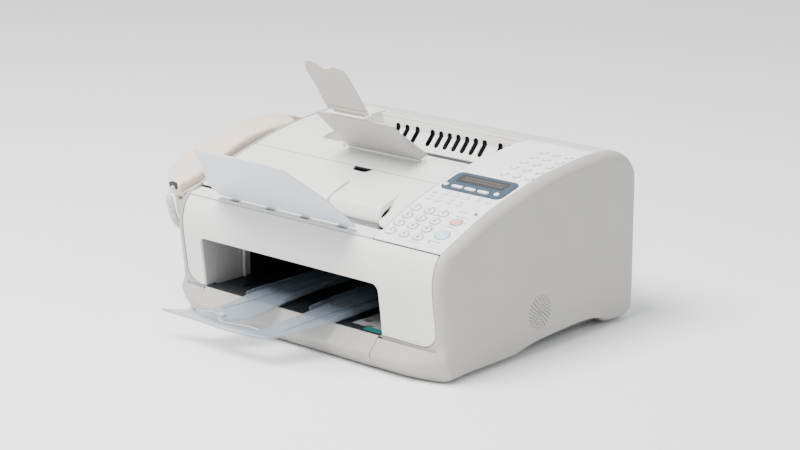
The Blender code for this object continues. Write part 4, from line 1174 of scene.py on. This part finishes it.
def make_document_tray():
    """Clear plate with a thickened rim, carried by four lugs."""
    corners = [(-136.5, 3.5, 4), (-131.5, 28, 30), (-105, 71, 60), (-79, 116.5, 5), (43, 119.4, 16),
               (61.4, 60, 60), (62.6, 3.5, 4)]
    plate = extrude("document_tray_skin", rounded(corners, 10), "Z", -0.9, 0.9)
    soften(plate, 0.6, 3)
    place(leaning(plate, TRAY_PIVOT, TRAY_ANGLE), "document_tray", CLEAR_PALE, ["document_tray"])
    inner = rounded([(u * 0.985 + (v > 60) * 0.2 - 0.4, 60 + (v - 60) * 0.975, r) for u, v, r in corners], 10)
    rim = tube("document_tray_rim", [(u, v, -0.95) for u, v in inner + inner[:1]], 0.55, 6)
    place(leaning(rim, TRAY_PIVOT, TRAY_ANGLE), "document_tray", CLEAR_PALE)
    for number, x in enumerate(TRAY_LUGS):
        arm = extrude("arm", slot_shape(x - 2.6, 0.6, x + 2.6, 8.6, 1.2), "Z", -1.4, 0.7)
        arm = leaning(soften(arm, 0.35, 2), TRAY_PIVOT, TRAY_ANGLE)
        pin = turned("pin", [(-4.4, 1.3), (-4.1, 1.7), (4.1, 1.7), (4.4, 1.3)],
                     (x, TRAY_PIVOT[1], TRAY_PIVOT[2]), "X", 20)
        place(merge("document_tray_lug_%d" % (number + 1), [arm, pin]), "document_tray", CLEAR_PALE)


def make_output_tray():
    """Panel with a wedge wall at its right edge, ribs on top and a round hinge bar."""
    plate = extrude("plate", rounded([(-65.5, 1.5, 2), (36.6, 1.5, 2), (40.1, 62.6, 4), (-71.6, 62.6, 4)], 6),
                    "Z", -1.0, 1.0)
    soften(plate, 0.5, 2)
    wall = extrude("wall", rounded([(-0.4, -0.2, 0.6), (57.0, -0.4, 1.5), (-7.4, -11.2, 1.2)], 5), "X", 34.7,
                   36.8)
    soften(wall, 0.5, 2)
    ribs = [block("rib", (x, 10, -1.8), (x + 1.4, 54, -0.8), 0.25, 1) for x in (-52.0, -30.0, -8.0, 14.0)]
    tray = merge("output_tray_skin", [leaning(item, OUTPUT_PIVOT, OUTPUT_ANGLE)
                                      for item in [plate, wall] + ribs])
    # The tray gets the darker copy of white: painted shade on the face turned from the light.
    place(tray, "output_tray", WHITE_PAINTED_SHADE, ["output_tray"], "shell_white")
    bar = turned("output_tray_bar", [(-53.0, 1.1), (-52.6, 1.5), (52.6, 1.5), (53.0, 1.1)], OUTPUT_PIVOT, "X",
                 20)
    place(bar, "output_tray", WHITE_PAINTED_SHADE)


def make_output_extension():
    """Wavy-topped tongue with a shallow groove near its hinge."""
    edge = curve_through([(8.0, 2.0), (8.0, 20), (7.8, 42), (6.6, 56), (4.0, 64), (-1.5, 67.6), (-10, 66.5),
                          (-18.0, 63.6), (-24.0, 64.4), (-30.0, 69.6), (-37.0, 71.8), (-44.5, 70.0),
                          (-49.2, 63.0), (-49.4, 42), (-49.5, 20), (-49.6, 2.0)], 2.0)
    plate = extrude("output_extension_skin", edge, "Z", -0.9, 0.9)
    groove = block("tool", (-47.0, 8.0, 0.6), (6.0, 9.0, 3.0), 0.0)
    cut(plate, groove)
    soften(plate, 0.45, 2)
    place(leaning(plate, TONGUE_PIVOT, TONGUE_ANGLE), "output_extension", TONGUE_GREY, ["output_extension"])
    pin = turned("output_extension_bar", [(-22.0, 0.9), (-21.7, 1.15), (21.7, 1.15), (22.0, 0.9)],
                   TONGUE_PIVOT, "X", 16)
    place(pin, "output_extension", TONGUE_GREY)


make_bay()
make_paper_tray()
make_document_tray()
make_output_tray()
make_output_extension()


# ---------------------------------------------------------------- operation panel, display and keys

BEZEL_X = (93.8, 172.8)
BEZEL_Y = (92.9, 127.7)
KEY_POWER = 2.3
DIGIT_SIZE = 5.4
DIGIT_LIFT = 1.16
DISPLAY_KEY_POWER = 3.6
FUNCTION_KEYS = [(99, 71.5), (112, 71.5), (126, 71.5), (139.5, 71.5), (96.5, 84.0), (110.5, 84.4),
                 (124, 84.8), (138, 85.0), (152, 85.2), (165, 85.4)]


def key_table():
    """Every moving key: name, centre x and y, width and depth."""
    rows = []
    for row, y in enumerate((54.0, 41.6, 29.3, 16.4)):
        for column, x in enumerate((98.5, 116.5, 134.5)):
            rows.append(("key_" + "123456789s0p"[row * 3 + column], x, y, 11.0, 7.6))
    for row in range(5):
        for column in range(3):
            x = 138.2 + 16.4 * column - 0.75 * row
            rows.append(("one_touch_%02d" % (row * 3 + column + 1), x, 143.3 + 17.0 * row, 7.6, 5.6))
    rows.append(("stop_key", 157.5, 46.9, 12.5, 9.5))
    rows.append(("start_key", 157.2, 26.6, 15.0, 12.5))
    for number, x in enumerate((114.1, 130.8, 147.8)):
        rows.append(("display_key_%d" % (number + 1), x, 99.0, 14.0, 4.4))
    return rows


KEYS = key_table()
DISPLAY_KEYS = [key for key in KEYS if key[0].startswith("display")]
KEY_FINISH = {"start_key": (KEY_BLUE, "key_blue"), "stop_key": (KEY_RED, "key_red")}


def oval(width, depth, count, power):
    """Superellipse outline: an ellipse at power 2, squarer above."""
    return [(width / 2 * math.copysign(abs(c) ** (2 / power), c),
             depth / 2 * math.copysign(abs(s) ** (2 / power), s)) for c, s in circle(1.0, count)]


def key_rings(x, y, levels, power=KEY_POWER):
    """Rings of one key from (height, width, depth), standing square to the surface."""
    stand = surface_frame(x, y)
    return [[stand @ Vector((u, v, h)) for u, v in oval(width, depth, 36, power)] for h, width,
            depth in levels]


def round_stud(x, y, profile, sides):
    """Turned shape from (height, radius), standing square to the surface."""
    stand = surface_frame(x, y)
    return loft("stud", [[stand @ Vector((u, v, h)) for u, v in circle(r, sides)] for h, r in profile])


def key_holes(chosen, grow, power):
    """Tools for the holes of the chosen keys, a little larger than their caps."""
    return [loft("hole", key_rings(x, y, [(h, width + grow, depth + grow) for h in (-6.0, 6.0)], power))
            for name, x, y, width, depth in chosen]


def make_panel():
    """Panel skin with a hole for every key, and a raised rim around each."""
    skin = extrude("operation_panel_skin", band(top_path(2.6, 242.6), PANEL_WALL), "X", PANEL_LEFT + GAP,
                   INNER_HALF - GAP)
    others = [key for key in KEYS if key not in DISPLAY_KEYS]
    cut(skin, *key_holes(others, 0.7, KEY_POWER), *key_holes(DISPLAY_KEYS, 0.9, KEY_POWER))
    soften(skin, 0.55, 3, 40.0)
    # The panel gets the lighter copy of the shell white: painted light on the top surface.
    place(skin, "root", SHELL_WHITE_LIT, ["operation_panel"], "shell_white")
    rims, floors = [], []
    for name, x, y, width, depth in others:
        wide = 0.9 if name.startswith("one") else 1.3
        levels = [(-0.6, width + 0.75, depth + 0.75), (0.28, width + 0.75, depth + 0.75),
                  (0.34, width + wide, depth + wide), (0.28, width + 2 * wide, depth + 2 * wide),
                  (-0.2, width + 2 * wide + 0.3, depth + 2 * wide + 0.3)]
        rings = key_rings(x, y, levels)
        rims.append(loft("rim", rings + rings[:1], caps=False))
        floors.append(loft("floor", key_rings(x, y, [(h, width + 3, depth + 3) for h in (-5.4, -4.6)])))
    # The rims are grey: painted shade of the gaps round the keys.
    place(merge("key_rims", rims), "root", GREY_AND_GAP_SHADE)
    place(merge("key_wells", floors), "root", FRAME_GREY)


def make_keys():
    """One domed cap per key, on its own body, with generic digits on the number keys."""
    for name, x, y, width, depth in KEYS:
        shown = name.startswith("display")
        top, dome, power = (2.75, 0.35, DISPLAY_KEY_POWER) if shown else (1.15, 0.5, KEY_POWER)
        levels = [(-3.3, width - 0.5, depth - 0.5), (top - dome - 0.35, width, depth),
                  (top - dome, width - 0.15, depth - 0.15), (top - 0.45 * dome, width - 0.9, depth - 0.9),
                  (top - 0.15 * dome, width * 0.72, depth * 0.66), (top, width * 0.3, depth * 0.25)]
        cap = loft(name + "_cap", key_rings(x, y, levels, power))
        material, slot = KEY_FINISH.get(name, (KEY_WHITE, "key_white"))
        place(cap, name, material, [name], slot, 50.0)
    spots = {name: (x, y) for name, x, y, width, depth in KEYS}
    for name, mark in zip(["key_" + c for c in "1234567890sp"], "1234567890*#"):
        place(digit(name + "_mark", mark, *spots[name]), name, INK)


def digit(name, text, x, y):
    """A generic digit as a thin raised shape square to the surface."""
    data = bpy.data.curves.new(name, "FONT")
    data.body = text
    data.size = DIGIT_SIZE
    data.align_x = "CENTER"
    data.align_y = "CENTER"
    data.extrude = 0.14
    data.offset = 0.1
    data.resolution_u = 3
    letter = bpy.data.objects.new(name, data)
    bpy.context.scene.collection.objects.link(letter)
    graph = bpy.context.evaluated_depsgraph_get()
    graph.update()
    mesh = bpy.data.meshes.new_from_object(letter.evaluated_get(graph))
    bpy.data.objects.remove(letter, do_unlink=True)
    made = bpy.data.objects.new(name, mesh)
    bpy.context.scene.collection.objects.link(made)
    mesh.transform(surface_frame(x, y, DIGIT_LIFT))
    return made


def make_display():
    """Slate bezel with a dark window, two fixed round keys and holes for the pale display keys."""
    (x0, x1), (y0, y1) = BEZEL_X, BEZEL_Y
    bezel = extrude("display_bezel_skin", slot_shape(x0, y0, x1, y1, 6.8, 10), "Z", 0.35, 1.5)
    draped(bezel, y0, y1)
    window = draped(tool(slot_shape(102.6, 108.4, 163.4, 123.2, 2.0), "Z", 0.9, 6.0), 108.4, 123.2)
    cut(bezel, *key_holes(DISPLAY_KEYS, 0.7, DISPLAY_KEY_POWER), window)
    soften(bezel, 0.3, 2)
    place(bezel, "root", BEZEL_BLUE, ["display_bezel"])
    glass = extrude("display_window_skin", slot_shape(102.9, 108.7, 163.1, 122.9, 1.7), "Z", 0.95, 1.35)
    place(draped(glass, 108.7, 122.9), "root", GLASS_DARK, ["display_window"])
    cells = []
    for row in range(2):
        for column in range(16):
            cx, cy = 107.6 + 3.35 * column, 112.6 + 4.4 * row
            corners = [(cx, cy), (cx + 2.5, cy), (cx + 2.5, cy + 3.2), (cx, cy + 3.2)]
            cells.append(draped(extrude("cell", corners, "Z", 1.3, 1.38), cy, cy + 3.2))
    place(merge("display_cells", cells), "root", GLASS_CELL)
    profile = [(1.2, 2.9), (2.1, 2.9), (2.45, 2.6), (2.55, 1.6), (2.6, 0.5)]
    rounds = [round_stud(x, y, profile, 28) for x, y in ((98.6, 99.8), (164.2, 100.2))]
    place(merge("display_round_keys", rounds), "root", KEY_WHITE)


def make_function_marks():
    """Small function keys and neutral printed lines on the panel."""
    for name, material, levels in (("function_keys", GREY_AND_GAP_SHADE, [(-0.2, 6.6, 4.6), (0.35, 6.6, 4.6),
                                                                (0.5, 6.0, 4.0), (0.55, 4.0, 2.4)]),
                                   ("function_key_tops", KEY_WHITE, [(0.3, 5.0, 3.1), (0.72, 5.0, 3.1),
                                                                     (0.85, 4.2, 2.4)])):
        pads = [loft("pad", key_rings(x, y, levels)) for x, y in FUNCTION_KEYS]
        place(merge(name, pads), "root", material)
    lines = [(x - 3.2, 77.0, x + 2.6, 77.0) for x in (99, 112, 126, 139.5)]
    lines += [(x - 2.6, 89.4, x + 3.0, 89.4) for x in (110.5, 124, 138, 152)]
    lines += [(x - 2.4, y + 5.9, x + 2.0, y + 5.9) for name, x, y, *size in KEYS if name.startswith("key_")]
    lines += [(x - 3.0, y - 5.2, x + 2.6, y - 5.2) for name, x, y, *size in KEYS if name.startswith("one")]
    lines += [(148.0, 16.2, 164.0, 16.2), (152.0, 39.0, 162.0, 39.0), (150.0, 55.2, 166.0, 55.2),
              (146.0, 62.5, 158.0, 62.5), (167.0, 62.0, 171.5, 62.0), (127.0, 9.4, 142.0, 9.4)]
    place(strokes("panel_lines", lines, 0.7), "root", MARK_GREY)
    mark = extrude("panel_triangle", [(165.5, 62.6), (171.0, 62.6), (168.2, 67.0)], "Z", 0.0, 0.14)
    place(bend(mark, lambda x, y: top_z(y)), "root", MARK_GREY)
    profile = [(-0.3, 1.2), (0.35, 1.2), (0.6, 0.8), (0.68, 0.3)]
    lamps = [round_stud(x, y, profile, 20) for x, y in ((151.5, 13.2), (168.0, 47.5))]
    place(merge("panel_lamps", lamps), "root", LAMP_GREEN)


# ---------------------------------------------------------------- handset, cradle and hook switch

HANDSET_UPPER = curve_through([(3.0, 16.6), (4.2, 19.0), (7.0, 20.2), (14, 20.5), (24, 20.7), (35, 21.6),
                               (50, 23.2), (68, 25.6), (85, 28.2), (108, 29.5), (124, 28.8), (137, 27.0),
                               (160, 22.8), (180, 17.7), (192, 13.6), (197, 11.6), (198.6, 9.8)], 2.0)
HANDSET_LOWER = [(3.0, 8.0), (3.6, 5.0), (5.2, 2.2), (8.0, 1.2), (46.0, 1.2), (49.0, 2.2), (52.0, 6.0),
                 (55.0, 10.5), (58.5, 12.2), (143.0, 12.2), (146.5, 11.0), (149.5, 6.0), (152.5, 2.2),
                 (156.0, 1.2), (193.0, 1.2), (196.5, 2.2), (198.0, 5.0), (198.6, 8.4)]
HANDSET_OUTER = curve_through([(3.0, -203.0), (5.5, -208.0), (9.0, -217.0), (15.5, -226.0), (24, -234),
                               (36, -240), (52, -243), (110, -243), (176, -243), (188, -240.5), (195, -235),
                               (198, -227.5), (198.6, -222.0)], 2.0)
HANDSET_INNER = [(3.0, -193.4), (6.0, -192.8), (176.0, -192.8), (183.0, -195.0), (189.0, -200.0),
                 (194.5, -208.0), (198.0, -216.0), (198.6, -220.0)]
HANDSET_X = -217.0
HANDSET_CAPS = (27.0, 173.0)
SOCKET_X = -203.2
BOOT_X = -203.5
HOOK = (-216.0, 107.0)


def along_profile(profile, a):
    return float(np.interp(a, [u for u, v in profile], [v for u, v in profile]))


def slope_ring(shape, x, along, up):
    """A (u, v) outline lying along the handset's slope at a height above it."""
    return [Vector((x + u, *on_slope(along + v, up))) for u, v in shape]


def standing_ring(shape, x, along, up):
    """A (u, v) outline standing square across the handset's slope."""
    return [Vector((x + u, *on_slope(along, up + v))) for u, v in shape]


def make_handset():
    """Two-shell handset: a superellipse loft with a parting groove round its sides."""
    stations = sorted({round(u, 3) for u, v in HANDSET_LOWER + HANDSET_INNER}
                      | {3.3, 4.0, 5.0, 197.3} | set(np.arange(7.0, 196.0, 3.0)))
    stations = [a for index, a in enumerate(stations) if index == 0 or a - stations[index - 1] > 0.25]
    rings = []
    steps = 11
    turns = [(math.cos(angle), math.sin(angle)) for angle in [math.pi / 2 * k / steps
                                                              for k in range(steps + 1)]]
    for a in stations:
        low, high = along_profile(HANDSET_LOWER, a), along_profile(HANDSET_UPPER, a)
        outer, inner = along_profile(HANDSET_OUTER, a), along_profile(HANDSET_INNER, a)
        half, middle = (inner - outer) / 2, (inner + outer) / 2
        seam = low + 0.5 * (high - low)
        ring = [(half * s ** (2 / 5.0), low + (seam - 0.3 - low) * (1 - c ** (2 / 4.0))) for c, s in turns]
        ring.append((half - 0.7, seam))
        ring += [(half * c ** (2 / 5.0), seam + 0.3 + (high - seam - 0.3) * s ** (2 / 3.2)) for c, s in turns]
        ring += [(-u, v) for u, v in ring[-2:0:-1]]
        rings.append(standing_ring(ring, middle, a, 0.0))
    place(loft("handset_skin", rings), "handset", HANDSET_BEIGE, ["handset"], angle=42.0)
    caps, grilles = [], []
    profile = ((1.25, 18.0), (0.75, 18.0), (0.45, 17.0), (0.55, 12.0), (0.95, 9.0), (0.95, 0.6))
    for centre in HANDSET_CAPS:
        caps.append(loft("cap", [slope_ring(circle(r, 40), HANDSET_X, centre, height) for height,
                                 r in profile]))
        # Dark discs stand for the grille holes: painted shade inside them.
        for u, v in circle(2.6, 6) + circle(5.4, 12):
            grilles.append(loft("hole", [slope_ring(circle(0.7, 12), HANDSET_X + u, centre + v, height)
                                         for height in (1.1, 0.88)]))
    place(merge("handset_caps", caps), "handset", HANDSET_BEIGE)
    place(merge("handset_grille_hole_shade", grilles), "handset", BAY_DARK_AND_SHADE)
    socket = [standing_ring(oval(12.6, 7.6, 28, 4.5), SOCKET_X, a, 15.6) for a in (2.4, 4.6)]
    place(loft("handset_cord_socket", socket), "handset", SOCKET_BLACK)
    boot = [standing_ring(circle(r, 20), BOOT_X, a, 13.0 + 0.3 * (3.6 - a))
            for a, r in ((3.8, 2.6), (2.4, 2.5), (1.4, 2.1), (0.2, 1.6), (-1.0, 1.1))]
    place(loft("handset_cord_boot", boot), "handset", CORD_WHITE)


def slope_tool(plan, low, high):
    """Tool whose plan (x, along) lies on the handset's slope, between two heights above it."""
    item = tool(plan, "Z", low, high)
    item.data.transform(Matrix.Translation((0.0, *SLOPE_ORIGIN)) @ Matrix.Rotation(SLOPE, 4, "X"))
    return item


def make_cradle():
    """Shelf with two wells for the handset's caps, carried on brackets from the side cover."""
    wall = -HALF_WIDTH - 0.4
    body = rounded([(*on_slope(1.5, -0.5), 1.5), (*on_slope(3, -14), 6), (*on_slope(9, -22), 5),
                    (*on_slope(190, -22), 8), (*on_slope(203, -10), 4), (*on_slope(203, 10), 2),
                    (*on_slope(1.5, 10), 0)], 6)
    cradle = extrude("handset_cradle_skin", body, "X", -239.8, wall)
    plan = curve_through([(-194, 4.0), (-205, 6.8), (-214, 10.4), (-223, 17), (-231, 26), (-236.6, 36),
                          (-239, 50)], 2.0)
    plan = [(wall, -20), (-194, -20)] + plan + rounded([(-239, 150, 0), (-239, 203, 22), (wall, 203, 6)],
                                                       8)[:-1]
    plan += [(wall, 203)]
    boolean(cradle, [slope_tool(plan, -60, 40)], "INTERSECT")
    tools = []
    for start, end in ((-8.0, 56.4), (144.6, 201.0)):
        well = rounded([(*on_slope(start, -0.6), 0), (*on_slope(end, -0.6), 3), (*on_slope(end, 22), 0),
                        (*on_slope(start, 22), 0)], 5)
        tools.append(tool(well, "X", -245, -191))
    tools.append(tool([on_slope(*p) for p in ((101.8, -30), (112.2, -30), (112.2, 20), (101.8, 20))], "X",
                         -221.2, -210.8))
    cut(cradle, *tools)
    soften(cradle, 0.8, 3)
    # The cradle gets the darker copy of the handset beige: painted shade.
    place(cradle, "root", HANDSET_BEIGE_SHADED, ["handset_cradle"], "handset_beige")
    for name, low, high, rise in (("cradle_front_bracket", 7, 18, 0), ("cradle_rear_bracket", 150, 162, 34)):
        outline = rounded([(wall, 94 + rise, 0), (-194, 95 + rise, 3), (-203, 104 + rise, 4),
                           (-205, 118 + rise, 0), (wall, 118 + rise, 0)], 5)
        place(soften(extrude(name, outline, "Y", low, high), 0.6, 2), "root", HANDSET_BEIGE_SHADED)


def make_hook_switch():
    """Rounded plunger between the wells of the cradle."""
    rings = [slope_ring(oval(size, size, 28, 4.0), *HOOK, height)
             for height, size in ((-7.9, 7.6), (9.2, 8.4), (10.4, 7.8), (11.0, 6.2), (11.15, 3.0))]
    place(loft("hook_switch_skin", rings), "hook_switch", KEY_WHITE, ["hook_switch"], angle=50.0)


# ---------------------------------------------------------------- rollers and toner cartridge

def make_roller(name, centre, radius, length, tyres, width):
    """Steel shaft with a flat at its end, carrying rubber tyres on collars."""
    half = length / 2
    shaft = turned("shaft", [(-half, 2.4), (-half + 0.6, 3.0), (half - 0.6, 3.0), (half, 2.4)], centre, "X",
                   24)
    flat = block("flat", (centre[0] + half - 7.5, centre[1] - 4, centre[2] + 1.8),
                 (centre[0] + half + 1, centre[1] + 4, centre[2] + 5), 0.0)
    cut(shaft, flat)
    place(shaft, name, STEEL, [name], "rubber")
    wheels, hubs = [], []
    w = width / 2
    for k in range(tyres):
        at = -half + length * (k + 0.5) / tyres
        wheels.append(turned("tyre", [(at - w, radius - 1.0), (at - w + 0.5, radius - 0.15),
                                      (at + w - 0.5, radius - 0.15), (at + w, radius - 1.0)], centre, "X",
                             36))
        hubs.append(turned("hub", [(at - w - 2.5, 3.9), (at - w - 2.2, 4.4), (at + w + 2.2, 4.4),
                                   (at + w + 2.5, 3.9)], centre, "X", 24))
    wheels = merge("tyres", wheels)
    grips = []
    for turn in range(18):
        grip = block("tool", (centre[0] - half, -0.25, radius - 0.5), (centre[0] + half, 0.25, radius + 1),
                     0.0)
        angle = 2 * math.pi * turn / 18
        grip.data.transform(Matrix.Translation((0, centre[1], centre[2])) @ Matrix.Rotation(angle, 4, "X"))
        grips.append(grip)
    cut(wheels, *grips)
    wheels.name = name + "_tyres"
    place(wheels, name, RUBBER)
    place(merge(name + "_hubs", hubs), name, FRAME_GREY)


def make_toner_cartridge():
    """Cartridge case with a drum shutter, grip hollow, end caps and a green drum edge."""
    outline = rounded([(28.2, 90.2, 4), (127.8, 90.2, 4), (127.8, 111.8, 6), (92, 111.8, 2), (60, 117.6, 10),
                       (28.2, 111.8, 8)], 6)
    case = extrude("toner_cartridge_skin", outline, "X", -108, 108)
    cut(case, block("tool", (-40, 18, 100), (40, 35.5, 108), 1.5))
    case = soften(case, 0.6, 2)
    place(case, "root", CARTRIDGE_BLACK, ["toner_cartridge"])
    ends = [extrude("end", [(u + (78 - u) * 0.04, v + (101 - v) * 0.08) for u, v in outline], "X", *span)
            for span in ((-111.6, -107.5), (107.5, 111.6))]
    place(soften(merge("toner_end_caps", ends), 0.5, 2), "root", FRAME_GREY)
    drum = turned("toner_drum", [(-104, 4.6), (-103.6, 5.0), (103.6, 5.0), (104, 4.6)], (0, 110, 95.8), "X",
                  36)
    place(drum, "root", BAY_TEAL)


make_panel()
make_keys()
make_display()
make_function_marks()
make_handset()
make_cradle()
make_hook_switch()
make_roller("feed_roller", (-20.0, 54.0, 128.0), 6.0, 150.0, 3, 22.0)
make_roller("exit_roller", (-2.0, 197.0, 149.5), 7.0, 200.0, 5, 14.0)
make_toner_cartridge()
